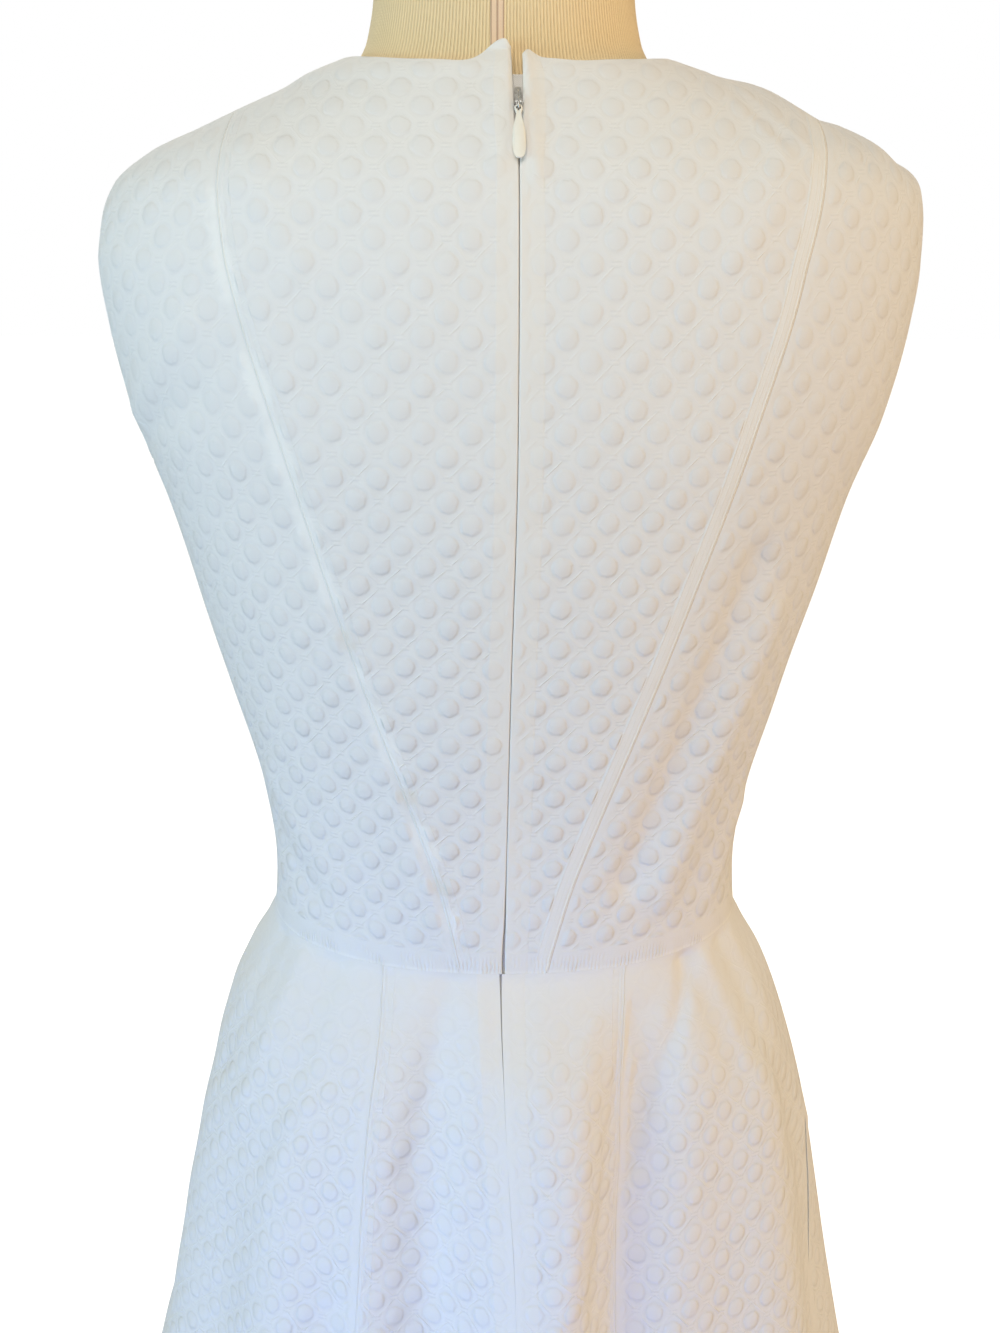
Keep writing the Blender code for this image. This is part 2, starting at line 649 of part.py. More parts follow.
def zip_slider(middle, turn, made_of):
    """The slider's body with two ears and the pin that the link turns on."""
    low = SLIDER_BOTTOM - PIN_HEIGHT
    high = SLIDER_TOP - PIN_HEIGHT
    face = -PIN_STAND_OFF - SLIDER_FACE
    body = box((-SLIDER_HALF_WIDTH, face - SLIDER_THICKNESS, low), (SLIDER_HALF_WIDTH, face, high))
    bmesh.ops.bevel(body, geom=list(body.edges), offset=SLIDER_BEVEL, segments=1, affect="EDGES")
    parts = [body]
    for side in (-1, 1):
        inner, outer = sorted((side * EAR_INNER, side * EAR_OUTER))
        parts.append(box((inner, face - SLIDER_THICKNESS / 2, -EAR_BELOW), (outer, PIN_RADIUS * 1.5, EAR_ABOVE)))
    pin = bmesh.new()
    bmesh.ops.create_cone(pin, cap_ends=True, segments=12, radius1=PIN_RADIUS, radius2=PIN_RADIUS, depth=PIN_LENGTH)
    bmesh.ops.rotate(pin, verts=pin.verts, matrix=Matrix.Rotation(math.pi / 2, 3, "Y"))
    parts.append(pin)
    slider = joined("zip_slider", parts, made_of)
    for piece in [slider] + [m.object for m in slider.modifiers]:
        piece.data.transform(turn.to_4x4())
        piece.data.transform(Matrix.Translation(middle))
    return slider


def zip_link(made_of):
    """A long wire ring round the pin and through the eye of the pull."""
    rings = []
    around = 20
    for step in range(around):
        angle = 2 * math.pi * step / around
        out, up = math.cos(angle) * LINK_RADIUS, math.sin(angle) * LINK_RADIUS
        centre = Vector((0, out, up - (LINK_LENGTH if up < 0 else 0)))
        direction = Vector((0, math.cos(angle), math.sin(angle)))
        ring = []
        for k in range(8):
            turn = 2 * math.pi * k / 8
            ring.append(centre + direction * math.cos(turn) * LINK_WIRE + Vector((math.sin(turn) * LINK_WIRE, 0, 0)))
        rings.append(ring)
    wire = bmesh.new()
    loops = [[wire.verts.new(point) for point in ring] for ring in rings]
    for lower, upper in zip(loops, loops[1:] + loops[:1]):
        for i in range(8):
            wire.faces.new([lower[i], lower[(i + 1) % 8], upper[(i + 1) % 8], upper[i]])
    return finish(wire, "zip_link", made_of)


def zip_pull(made_of):
    """A teardrop tab with an eye at its narrow top."""
    eye = Vector((0, 0, -LINK_LENGTH - LINK_RADIUS))
    count = 24
    outline, hole = [], []
    for step in range(count):
        angle = 2 * math.pi * step / count
        hole.append(Vector((math.sin(angle) * EYE_RADIUS, 0, math.cos(angle) * EYE_RADIUS)) + eye)
        part = (1 - math.cos(angle)) / 2
        width = PULL_TOP_HALF_WIDTH + (PULL_HALF_WIDTH - PULL_TOP_HALF_WIDTH) * part
        length = PULL_TOP if math.cos(angle) > 0 else PULL_LENGTH - EYE_RADIUS
        along = power(math.cos(angle), PULL_ROUNDNESS) * length
        outline.append(Vector((math.sin(angle) * width, 0, along)) + eye)
    tab = bmesh.new()
    loops = []
    for points, depth in ((hole, -1), (outline, -1), (outline, 1), (hole, 1)):
        loops.append([tab.verts.new(p + Vector((0, depth * PULL_HALF_THICKNESS, 0))) for p in points])
    for inner, outer in zip(loops, loops[1:] + loops[:1]):
        for i in range(count):
            k = (i + 1) % count
            tab.faces.new([inner[i], inner[k], outer[k], outer[i]])
    return finish(tab, "zip_pull", made_of)


def build():
    for old in list(bpy.data.objects):
        bpy.data.objects.remove(old)
    white = material("white_jacquard", (0.86, 0.87, 0.87), 0.75)
    jersey = material("beige_jersey", (0.72, 0.60, 0.43), 0.9)
    wood = material("neck_cap_wood", (0.42, 0.26, 0.13), 0.5)
    iron = material("black_iron", (0.03, 0.03, 0.032), 0.45, 0.6)
    steel = material("pole_steel", (0.62, 0.62, 0.63), 0.28, 1.0)
    silver = material("zip_silver", (0.70, 0.71, 0.72), 0.25, 1.0)
    cream = material("pull_enamel", (0.88, 0.86, 0.80), 0.3)
    for side, word in ((1, "left"), (-1, "right")):
        wall("bodice_back_" + word, centre_back_panel(side), white)
        wall("bodice_side_back_" + word, side_back_panel(side), white)
        wall("bodice_side_front_" + word, side_front_panel(side), white)
    wall("bodice_front", front_panel(), white)
    for index, name in enumerate(GORE_NAMES):
        wall(name, gore(index), white)
    form_torso(jersey)
    neck_cap(wood)
    stand(iron, steel)
    zip_tape(white)
    middle, turn = zip_frame()
    zip_slider(middle, turn, silver)
    hinge = bpy.data.objects.new("pull_hinge", None)
    hinge.matrix_world = Matrix.Translation(middle) @ turn.to_4x4()
    bpy.context.collection.objects.link(hinge)
    for piece in (zip_link(silver), zip_pull(cream)):
        piece.parent = hinge


build()
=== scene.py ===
"""The looks of a fit and flare dress on its dress form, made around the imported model. Metres, +Z up.

The wearer faces -Y, the zip is at +Y and the wearer's left at +X. Heights of the cloth are from the waist seam.
"""
import math

import bpy
import numpy as np
from mathutils import Matrix, Vector


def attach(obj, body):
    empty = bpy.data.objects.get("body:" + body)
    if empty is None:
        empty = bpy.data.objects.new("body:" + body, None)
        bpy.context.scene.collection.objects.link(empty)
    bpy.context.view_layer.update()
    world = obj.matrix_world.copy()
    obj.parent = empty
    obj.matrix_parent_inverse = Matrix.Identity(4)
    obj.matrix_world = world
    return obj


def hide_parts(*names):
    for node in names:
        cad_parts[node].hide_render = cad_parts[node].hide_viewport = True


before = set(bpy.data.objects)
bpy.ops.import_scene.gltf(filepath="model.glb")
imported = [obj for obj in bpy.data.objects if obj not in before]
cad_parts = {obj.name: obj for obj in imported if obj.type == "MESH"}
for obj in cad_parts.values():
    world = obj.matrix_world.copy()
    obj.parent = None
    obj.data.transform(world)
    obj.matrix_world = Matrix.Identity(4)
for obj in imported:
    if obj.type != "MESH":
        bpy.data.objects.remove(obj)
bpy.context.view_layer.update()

# ---------------------------------------------------------------------------------------------------
# Camera: it stands behind the dress at shoulder height and looks down at the back. Its focal length is
# in pixels of the photograph's frame, and its place was solved from the dress's outline there.
PHOTO_HEIGHT = 1333
FOCAL_PIXELS = 1500
CAMERA_DISTANCE = 0.723
CAMERA_HEIGHT = 1.421
CAMERA_SIDE, CAMERA_YAW, CAMERA_PITCH, CAMERA_ROLL = (math.radians(a) for a in (1.97, -0.26, 18.7, 0.39))

camera_data = bpy.data.cameras.new("camera")
camera_data.sensor_width = 36
camera_data.lens = FOCAL_PIXELS / PHOTO_HEIGHT * camera_data.sensor_width
camera = bpy.data.objects.new("camera", camera_data)
bpy.context.scene.collection.objects.link(camera)
eye = Vector((CAMERA_DISTANCE * math.sin(CAMERA_SIDE), CAMERA_DISTANCE * math.cos(CAMERA_SIDE), CAMERA_HEIGHT))
heading = Vector((-math.sin(CAMERA_SIDE + CAMERA_YAW), -math.cos(CAMERA_SIDE + CAMERA_YAW), 0))
looking = heading * math.cos(CAMERA_PITCH) - Vector((0, 0, 1)) * math.sin(CAMERA_PITCH)
level = looking.cross(Vector((0, 0, 1))).normalized()
upright = level.cross(looking)
right = level * math.cos(CAMERA_ROLL) + upright * math.sin(CAMERA_ROLL)
above = upright * math.cos(CAMERA_ROLL) - level * math.sin(CAMERA_ROLL)
camera.matrix_world = Matrix.Translation(eye) @ Matrix((right, above, -looking)).transposed().to_4x4()
bpy.context.scene.camera = camera

# ---------------------------------------------------------------------------------------------------
# Floor and light: a plain white floor in a white room. Cool window light comes from the left of the
# view, with a fainter, bluer share from below on the skirt. Warm lamps stand on the right, and soft
# light comes from above and from the front.
FLOOR_SIZE = 24.0
FLOOR_GLOW = 0.06
FLOOR_SEEN = 0.86
FLOOR_COLOUR, FLOOR_ROUGHNESS = (0.86, 0.86, 0.86, 1), 0.9
ROOM_LIGHT = (0.34, 0.31, 0.25, 1)
LIGHTS = (  # name, place, aims at, size, spread in degrees, watts, colour
    ("window", (2.0, 1.3, 1.25), (0.0, 0.05, 1.10), 1.1, 180, 19.8, (0.42, 0.80, 1.0)),
    ("low_window", (0.35, 0.95, 0.55), (0.0, 0.10, 0.80), 0.5, 180, 1.5, (0.13, 0.24, 1.0)),
    ("sky_on_skirt", (0.30, 1.0, 0.80), (0.02, 0.17, 0.89), 0.3, 34, 0.085, (0.02, 0.22, 1.0)),
    ("ceiling", (0.2, 1.2, 2.5), (0.0, 0.05, 1.30), 0.9, 180, 12.6, (1.0, 0.96, 0.88)),
    ("lamp", (-2.1, 0.45, 1.05), (-0.05, 0.05, 1.10), 1.0, 180, 13.2, (1.0, 0.54, 0.15)),
    ("high_lamp", (-1.8, 0.6, 2.0), (-0.05, 0.05, 1.20), 1.0, 180, 3.8, (1.0, 0.93, 0.62)),
    ("front_fill", (0.3, -2.2, 1.9), (0.0, 0.0, 1.1), 1.8, 180, 18.0, (1.0, 0.97, 0.94)),
)

bpy.context.scene.view_settings.view_transform = "Standard"
world = bpy.data.worlds.new("white_room")
world.use_nodes = True
bpy.context.scene.world = world
background = world.node_tree.nodes["Background"]
seen = world.node_tree.nodes.new("ShaderNodeLightPath")
shown = world.node_tree.nodes.new("ShaderNodeMix")
shown.data_type = "RGBA"
shown.inputs[6].default_value = ROOM_LIGHT
shown.inputs[7].default_value = (1, 1, 1, 1)
world.node_tree.links.new(seen.outputs["Is Camera Ray"], shown.inputs[0])
world.node_tree.links.new(shown.outputs[2], background.inputs["Color"])
for name, place, target, size, spread, watts, colour in LIGHTS:
    light = bpy.data.lights.new(name, "AREA")
    light.size = size
    light.spread = math.radians(spread)
    light.energy = watts
    light.color = colour
    lamp = bpy.data.objects.new(name, light)
    bpy.context.scene.collection.objects.link(lamp)
    lamp.visible_camera = False
    lamp.location = place
    lamp.rotation_euler = (Vector(target) - Vector(place)).to_track_quat("-Z", "Y").to_euler()

bpy.ops.object.select_all(action="DESELECT")
bpy.ops.mesh.primitive_plane_add(size=FLOOR_SIZE)
floor = bpy.context.object
floor.name = "floor"
floor_finish = bpy.data.materials.new("white_floor")
floor_finish.use_nodes = True
floor_shader = floor_finish.node_tree.nodes["Principled BSDF"]
floor_shader.inputs["Base Color"].default_value = FLOOR_COLOUR
floor_shader.inputs["Roughness"].default_value = FLOOR_ROUGHNESS
floor_shader.inputs["Emission Color"].default_value = (1, 1, 1, 1)
seen = floor_finish.node_tree.nodes.new("ShaderNodeLightPath")
glow = floor_finish.node_tree.nodes.new("ShaderNodeMapRange")
glow.inputs["To Min"].default_value = FLOOR_GLOW
glow.inputs["To Max"].default_value = FLOOR_SEEN
floor_finish.node_tree.links.new(seen.outputs["Is Camera Ray"], glow.inputs["Value"])
floor_finish.node_tree.links.new(glow.outputs["Result"], floor_shader.inputs["Emission Strength"])
floor.data.materials.append(floor_finish)

# ---------------------------------------------------------------------------------------------------
# Centre back panels of the bodice: white cotton jacquard, cut from the zip to the princess seams and up
# to the neckline and the shoulders. The dress's worn shape is set out here, in one smooth body that
# every panel is cut from, as in the solids: an oval at each height, with the skirt's folds on it.
WAIST = 1.050
SKIRT_LENGTH = 0.580
CLOTH = 0.0013
SEAM_GAP = 0.00002
ZIP_GAP = 0.00022
NAPE = 0.4085
FRONT_NECK = 0.350
NECK_POINT = (0.0714, 0.413)  # half width, height
PRINCESS_TOP = 0.1275
SHOULDER_POINT = 0.366
ZIP_HUMPS = {  # the neckline's humps beside the zip, on the left (1) and the right (-1): rise, place, width
    1: (0.0084, 0.0028, 0.0105),
    -1: (0.0036, 0.0024, 0.0042),
}
NAPE_LIFTS = {1: 0.0003, -1: 0.0019}  # how much higher the neckline starts on each side
NECK_WAVE, NECK_WAVE_RATE = 0.0005, 210
CORNER_ROUND = (0.0013, 0.3)  # reach and share of a hump that its corner at the zip loses
OVALS = [  # height, half width, back depth, front depth, squareness
    (-0.600, 0.268, 0.265, 0.262, 2.00),
    (-0.480, 0.243, 0.240, 0.236, 2.00),
    (-0.360, 0.217, 0.213, 0.208, 2.02),
    (-0.280, 0.197, 0.192, 0.187, 2.05),
    (-0.220, 0.184, 0.175, 0.171, 2.08),
    (-0.160, 0.1735, 0.158, 0.155, 2.12),
    (-0.110, 0.1635, 0.142, 0.142, 2.16),
    (-0.070, 0.1530, 0.128, 0.130, 2.20),
    (-0.040, 0.1420, 0.113, 0.117, 2.20),
    (-0.015, 0.1280, 0.096, 0.099, 2.20),
    (0.000, 0.1215, 0.088, 0.091, 2.20),
    (0.030, 0.1195, 0.0895, 0.096, 2.20),
    (0.070, 0.1245, 0.093, 0.105, 2.20),
    (0.120, 0.1365, 0.101, 0.119, 2.20),
    (0.170, 0.1500, 0.109, 0.129, 2.20),
    (0.222, 0.1640, 0.116, 0.126, 2.20),
    (0.260, 0.1775, 0.1185, 0.117, 2.20),
    (0.300, 0.1870, 0.117, 0.105, 2.20),
    (0.325, 0.1895, 0.1135, 0.097, 2.20),
    (0.345, 0.1870, 0.109, 0.089, 2.20),
    (0.360, 0.1810, 0.104, 0.083, 2.20),
    (0.3735, 0.1655, 0.0965, 0.077, 2.20),
    (0.3834, 0.1441, 0.0895, 0.072, 2.20),
    (0.3920, 0.1252, 0.083, 0.067, 2.20),
    (0.4004, 0.1051, 0.0755, 0.062, 2.20),
    (0.4075, 0.0875, 0.069, 0.057, 2.20),
    (0.4130, 0.0714, 0.061, 0.052, 2.20),
]
LEAN = [  # height, sideways shift of the shoulders
    (0.330, 0.0), (0.360, -0.0030), (0.385, -0.0055), (0.398, -0.0050), (0.4065, 0.0), (0.413, 0.0015),
]
PRINCESS = [  # height, distance from the centre behind, in front
    (0.000, 0.0215, 0.0520),
    (0.040, 0.0305, 0.0590),
    (0.080, 0.0430, 0.0680),
    (0.140, 0.0630, 0.0830),
    (0.200, 0.0815, 0.0915),
    (0.260, 0.0995, 0.1000),
    (0.320, 0.1170, 0.1130),
    (0.360, 0.1250, 0.1220),
    (0.400, 0.1280, 0.1285),
]
CENTRE_BACK = [  # height, how far the seam wanders, half of how far its edges part
    (-0.580, -0.0020, 0.0),
    (-0.150, -0.0010, 0.0),
    (-0.050, 0.0021, 0.0),
    (-0.012, 0.0032, 0.0002),
    (0.006, 0.0033, 0.0006),
    (0.030, 0.0027, 0.0002),
    (0.060, 0.0023, 0.0),
    (0.150, 0.0015, 0.0),
    (0.260, 0.0, 0.0),
    (0.370, 0.0, 0.0001),
    (0.383, 0.0, 0.0013),
    (0.390, 0.0, 0.0018),
    (0.416, 0.0, 0.0022),
]
FOLDS = [  # azimuth at the waist and at the hem, half width in degrees, start, power of opening, rise at the hem
    (95, 95.5, 8.5, 0.00, 0.27, 0.027),
    (126, 102, 6.0, 0.00, 0.27, -0.018),
    (137.5, 114, 8.0, 0.01, 0.30, 0.005),
    (152, 136, 10.0, 0.02, 0.45, 0.021),
    (153, 154, 6.0, 0.04, 0.85, -0.012),
    (168, 170, 8.0, 0.03, 0.85, 0.005),
    (184, 184, 7.5, 0.04, 0.85, -0.012),
    (198, 199, 8.5, 0.03, 0.85, 0.014),
    (213, 214, 8.0, 0.05, 0.85, -0.013),
    (228, 228, 8.0, 0.02, 0.70, 0.017),
    (243, 242, 7.5, 0.06, 0.70, -0.015),
    (257, 257, 8.0, 0.03, 0.60, 0.018),
    (272, 271, 8.0, 0.02, 0.50, -0.018),
    (287, 287, 8.0, 0.03, 0.60, 0.018),
    (301, 302, 7.5, 0.05, 0.70, -0.015),
    (316, 316, 8.0, 0.02, 0.70, 0.017),
    (331, 331, 8.0, 0.06, 0.85, -0.013),
    (346, 346, 8.0, 0.02, 0.85, 0.013),
    (362, 361, 7.0, 0.04, 0.85, -0.011),
    (378, 378, 8.0, 0.05, 0.85, 0.013),
    (395, 394, 7.0, 0.03, 0.85, -0.012),
    (409, 410, 7.0, 0.03, 0.70, 0.013),
    (420, 421, 4.5, 0.12, 0.60, -0.017),
    (430, 428, 5.5, 0.02, 0.60, 0.010),
    (436.5, 436, 6.0, 0.00, 0.30, -0.013),
]
FOLD_DRIFT, FOLD_SOFT_START = 0.08, 0.05
BUST_AZIMUTHS = (60.0, 120.0)
BUST_HEIGHT, BUST_RISE, BUST_WIDTH, BUST_TALL = 0.172, 0.009, 17.0, 0.050
CREASES = [  # azimuth and height of both ends, half width, rise: soft ridges, and troughs where it is negative
    (134, -0.004, 112.5, -0.088, 0.0050, -0.0024),
    (115, -0.022, 101.5, -0.136, 0.0070, -0.0020),
    (113.5, -0.040, 109, -0.090, 0.0032, 0.0012),
    (104, -0.026, 97.5, -0.128, 0.0090, 0.0018),
    (78, -0.002, 73, -0.090, 0.0060, -0.0013),
    (85, -0.020, 81, -0.130, 0.0070, 0.0012),
    (134, -0.004, 146, -0.110, 0.0060, -0.0018),
    (140, -0.010, 151, -0.150, 0.0070, 0.0018),
    (150, -0.004, 159, -0.130, 0.0055, -0.0016),
    (158, -0.008, 166, -0.120, 0.0070, 0.0014),
    (115.5, 0.046, 130.5, 0.206, 0.0080, -0.0036),
    (126, 0.036, 140, 0.175, 0.0090, 0.0036),
    (137, 0.035, 152, 0.100, 0.0070, -0.0016),
    (146, 0.026, 160, 0.066, 0.0060, 0.0014),
    (57, 0.330, 76, 0.030, 0.0120, 0.0012),
    (20, 0.262, 46, 0.306, 0.0085, 0.0018),
    (14, 0.246, 44, 0.276, 0.0075, -0.0015),
    (47, 0.040, 26, 0.085, 0.0085, 0.0014),
    (38, 0.028, 20, 0.055, 0.0070, -0.0014),
    (48, -0.006, 40, -0.105, 0.0070, -0.0018),
    (36, -0.010, 30, -0.090, 0.0060, 0.0016),
    (22, -0.006, 18, -0.080, 0.0060, -0.0014),
    (91.6, 0.365, 91.6, 0.411, 0.0035, 0.0012),
    (88.2, 0.370, 88.0, 0.414, 0.0050, 0.0010),
    (180, 0.4045, 176, 0.4025, 0.0110, 0.0018),
    (180, 0.3860, 174, 0.3830, 0.0110, 0.0020),
    (180, 0.3650, 174, 0.3640, 0.0110, 0.0018),
    (180, 0.3950, 175, 0.3930, 0.0070, -0.0014),
    (180, 0.3755, 175, 0.3745, 0.0070, -0.0014),
    (152, 0.4045, 134, 0.3740, 0.0034, 0.0008),
    (148, 0.4040, 131, 0.3750, 0.0030, -0.0008),
    (144, 0.4035, 128, 0.3765, 0.0032, 0.0007),
    (116, 0.335, 128, 0.372, 0.0100, 0.0012),
    (64, 0.330, 52, 0.368, 0.0100, 0.0012),
    (-38, 0.020, -62, 0.110, 0.0090, 0.0016),
    (-30, 0.030, -52, 0.100, 0.0070, -0.0014),
    (-142, 0.020, -120, 0.110, 0.0090, 0.0016),
    (-152, 0.028, -130, 0.095, 0.0070, -0.0013),
    (-36, 0.235, -56, 0.205, 0.0080, 0.0018),
    (-143, 0.238, -124, 0.204, 0.0080, 0.0016),
    (-32, -0.006, -36, -0.110, 0.0070, -0.0018),
    (-150, -0.006, -146, -0.120, 0.0070, -0.0018),
    (-70, -0.006, -72, -0.100, 0.0080, 0.0014),
    (-108, -0.006, -106, -0.100, 0.0080, 0.0014),
]
WORN = [  # height of a patch on the left princess seam, half its length, whiter (1) or tanned (-1)
    (0.352, 0.012, 0.5), (0.326, 0.016, 0.8), (0.284, 0.013, 1.0), (0.252, 0.015, 1.0), (0.224, 0.010, 0.7),
    (0.198, 0.014, 0.9), (0.172, 0.008, -0.8), (0.156, 0.010, 0.7), (0.136, 0.008, 0.6), (0.118, 0.012, 1.0),
    (0.094, 0.008, -0.9), (0.072, 0.013, 1.0), (0.046, 0.008, -0.8), (0.030, 0.010, 0.8),
]
WORN_HALF_WIDTH = 0.0058
EASE_WAVE = 0.0004  # slight unevenness of the worn cloth
EASE_RATES = ((61, 23), (47, 17, 1.3))  # of the two waves that make it up
CALM_AT_WAIST = 0.03  # how far from the waist seam it grows to its full height
SEAM_ROLL = (0.0008, 0.0001)  # how wide and how deep a sewn edge rolls in
FLAT_ROLL = (0.0006, 0.0)  # the same in the skirt and at the left princess seam, which are pressed flat
EDGE_ROLL = (0.0009, 0.0006)  # the same at a turned edge
ROLL_FULLNESS = 0.98  # how near a roll comes to a full quarter turn
CREASE_FADE, CREASE_AT_EDGE = 0.004, 0.35  # how near an edge a crease weakens, and its share left there
BODICE_STRETCH, SKIRT_STRETCH = 1.0, 0.95  # the bodice is pulled over the form, so its pattern is larger
DENSER_EDGES = 0.86  # how much closer the rows of a mesh lie at a panel's edges


def smooth_curve(table, column):
    """A column of a table as a smooth function of the first one, which never overshoots its points."""
    xs = np.array([row[0] for row in table])
    ys = np.array([row[column] for row in table])
    secants = np.diff(ys) / np.diff(xs)
    before, after = secants[:-1], secants[1:]
    turning = before * after <= 0
    inner = np.where(turning, 0.0, 2 * before * after / np.where(turning, 1.0, before + after))
    slopes = np.concatenate((secants[:1], inner, secants[-1:]))

    def at(x):
        x = np.clip(x, xs[0], xs[-1])
        i = np.clip(np.searchsorted(xs, x) - 1, 0, len(xs) - 2)
        step = xs[i + 1] - xs[i]
        t = (x - xs[i]) / step
        start = ys[i] * (1 + 2 * t) * (1 - t) ** 2 + slopes[i] * step * t * (1 - t) ** 2
        return start + ys[i + 1] * t * t * (3 - 2 * t) - slopes[i + 1] * step * t * t * (1 - t)

    return at


half_width, back_depth, front_depth, squareness = (smooth_curve(OVALS, column) for column in range(1, 5))
shoulder_lean = smooth_curve(LEAN, 1)
back_princess, front_princess = smooth_curve(PRINCESS, 1), smooth_curve(PRINCESS, 2)
wander, parting = smooth_curve(CENTRE_BACK, 1), smooth_curve(CENTRE_BACK, 2)


def power(value, exponent):
    return np.sign(value) * np.abs(value) ** exponent


def turn_between(azimuth, centre):
    """Degrees from a centre to an azimuth, the short way round."""
    return (np.degrees(azimuth) - centre + 180) % 360 - 180


def worn_body(azimuth, height):
    """The cloth's outer face as in the solids."""
    azimuth, height = np.broadcast_arrays(np.asarray(azimuth, float), np.asarray(height, float))
    cosine, sine = np.cos(azimuth), np.sin(azimuth)
    exponent = 2 / squareness(height)
    depth = np.where(sine >= 0, back_depth(height), front_depth(height))
    x = half_width(height) * power(cosine, exponent)
    y = depth * power(sine, exponent)
    drift = 1 - np.exp(np.clip(height, None, 0) / FOLD_DRIFT)
    rise = np.zeros_like(x)
    for at_waist, at_hem, width, start, opening, depth_at_hem in FOLDS:
        away = turn_between(azimuth, at_waist + (at_hem - at_waist) * drift)
        below = np.clip(-height - start, 0, None)
        soft = np.clip(below / FOLD_SOFT_START, 0, 1)
        opened = (below / (SKIRT_LENGTH - start)) ** opening * soft * soft * (3 - 2 * soft)
        rise += depth_at_hem * opened * np.exp(-((away / width) ** 2))
    tall = np.exp(-(((height - BUST_HEIGHT) / BUST_TALL) ** 2)) * (height >= 0)
    for bust in BUST_AZIMUTHS:
        rise += BUST_RISE * tall * np.exp(-((turn_between(azimuth, -bust) / BUST_WIDTH) ** 2))
    length = np.hypot(x, y)
    x, y = x * (1 + rise / length), y * (1 + rise / length)
    return np.stack((x + shoulder_lean(height) * np.abs(cosine), y, height), axis=-1)


ARC_AZIMUTHS = np.radians(np.arange(-110, 471, 1.0))
ARC_HEIGHTS = np.linspace(-0.6, 0.413, 220)
arc_points = worn_body(ARC_AZIMUTHS[None, :], ARC_HEIGHTS[:, None])
arc_steps = np.linalg.norm(np.diff(arc_points, axis=1), axis=2)
arc_lengths = np.concatenate((np.zeros((len(ARC_HEIGHTS), 1)), np.cumsum(arc_steps, axis=1)), axis=1)
arc_lengths -= arc_lengths[:, [int(np.argmin(abs(ARC_AZIMUTHS - math.pi / 2)))]]


def girth(azimuth, height):
    """Length along the cloth at one height, from the centre back to an azimuth."""
    i = (height - ARC_HEIGHTS[0]) / (ARC_HEIGHTS[1] - ARC_HEIGHTS[0])
    j = (azimuth - ARC_AZIMUTHS[0]) / (ARC_AZIMUTHS[1] - ARC_AZIMUTHS[0])
    i0 = np.clip(i.astype(int), 0, len(ARC_HEIGHTS) - 2)
    j0 = np.clip(j.astype(int), 0, len(ARC_AZIMUTHS) - 2)
    a, b = i - i0, j - j0
    low = arc_lengths[i0, j0] * (1 - b) + arc_lengths[i0, j0 + 1] * b
    high = arc_lengths[i0 + 1, j0] * (1 - b) + arc_lengths[i0 + 1, j0 + 1] * b
    return low * (1 - a) + high * a


def creasing(azimuth, height):
    """How far the cloth stands out of the smooth body: creases, and a slight unevenness."""
    here = girth(azimuth, height)
    (along_girth, along_height), (up, round_it, start) = EASE_RATES
    waves = np.sin(here * along_girth + height * along_height) * np.sin(height * up - here * round_it + start)
    rise = EASE_WAVE * waves * np.clip(np.abs(height) / CALM_AT_WAIST, 0, 1)
    for az0, h0, az1, h1, width, depth in CREASES:
        if az0 < 0:
            az0, az1 = az0 + 360, az1 + 360
        full = np.where(azimuth < np.pi * 0.5 - 0.2, azimuth + 2 * np.pi, azimuth) if az0 > 270 else azimuth
        if az0 < 90:
            full = np.where(azimuth > np.pi * 1.75, azimuth - 2 * np.pi, azimuth)
        across = girth(full, height)
        ends = girth(np.radians([az0, az1]).astype(float), np.array([h0, h1]))
        along = np.array([ends[1] - ends[0], h1 - h0])
        part = ((across - ends[0]) * along[0] + (height - h0) * along[1]) / (along @ along)
        part = np.clip(part, 0, 1)
        distance = np.hypot(across - ends[0] - along[0] * part, height - h0 - along[1] * part)
        rise += depth * np.exp(-((distance / width) ** 2))
    return rise


def facing(azimuth, height, step=0.004):
    """The direction out of the smooth body."""
    across = worn_body(azimuth + step, height) - worn_body(azimuth - step, height)
    up = worn_body(azimuth, height + step / 4) - worn_body(azimuth, height - step / 4)
    out = np.cross(across, up)
    return out / np.linalg.norm(out, axis=-1, keepdims=True)


def rolled(distance, roll):
    """How deep an edge has rolled in at a distance from it."""
    width, depth = roll
    part = np.clip(1 - distance / width, 0, 1)
    return depth * (1 - np.sqrt(1 - part**2 * ROLL_FULLNESS))


def new_grid(name, columns, rows):
    """A flat grid that a piece is shaped from."""
    bpy.ops.object.select_all(action="DESELECT")
    bpy.ops.mesh.primitive_grid_add(x_subdivisions=columns, y_subdivisions=rows, size=1)
    piece = bpy.context.object
    piece.name = piece.data.name = name
    return piece


def path_lengths(points, axis):
    steps = np.linalg.norm(np.diff(points, axis=axis), axis=2)
    start = np.zeros_like(np.take(steps, [0], axis=axis))
    return np.concatenate((start, np.cumsum(steps, axis=axis)), axis=axis)


def edge_turn(height):
    """Half a seam's gap as an azimuth at the oval's tip, where the side and shoulder seams are."""
    return (SEAM_GAP / 2 / back_depth(height)) ** (squareness(height) / 2)


def azimuth_at(offset, height):
    """Azimuth from the side of a point at this distance from the centre."""
    ratio = np.clip(offset / half_width(height), -1, 1)
    return np.maximum(edge_turn(height), np.arccos(power(ratio, squareness(height) / 2)))


def ridge_height(offset):
    """Height of the shoulder's ridge at a distance from the centre."""
    heights = np.linspace(SHOULDER_POINT, NECK_POINT[1], 400)
    return np.interp(-np.asarray(offset, float), -half_width(heights), heights)


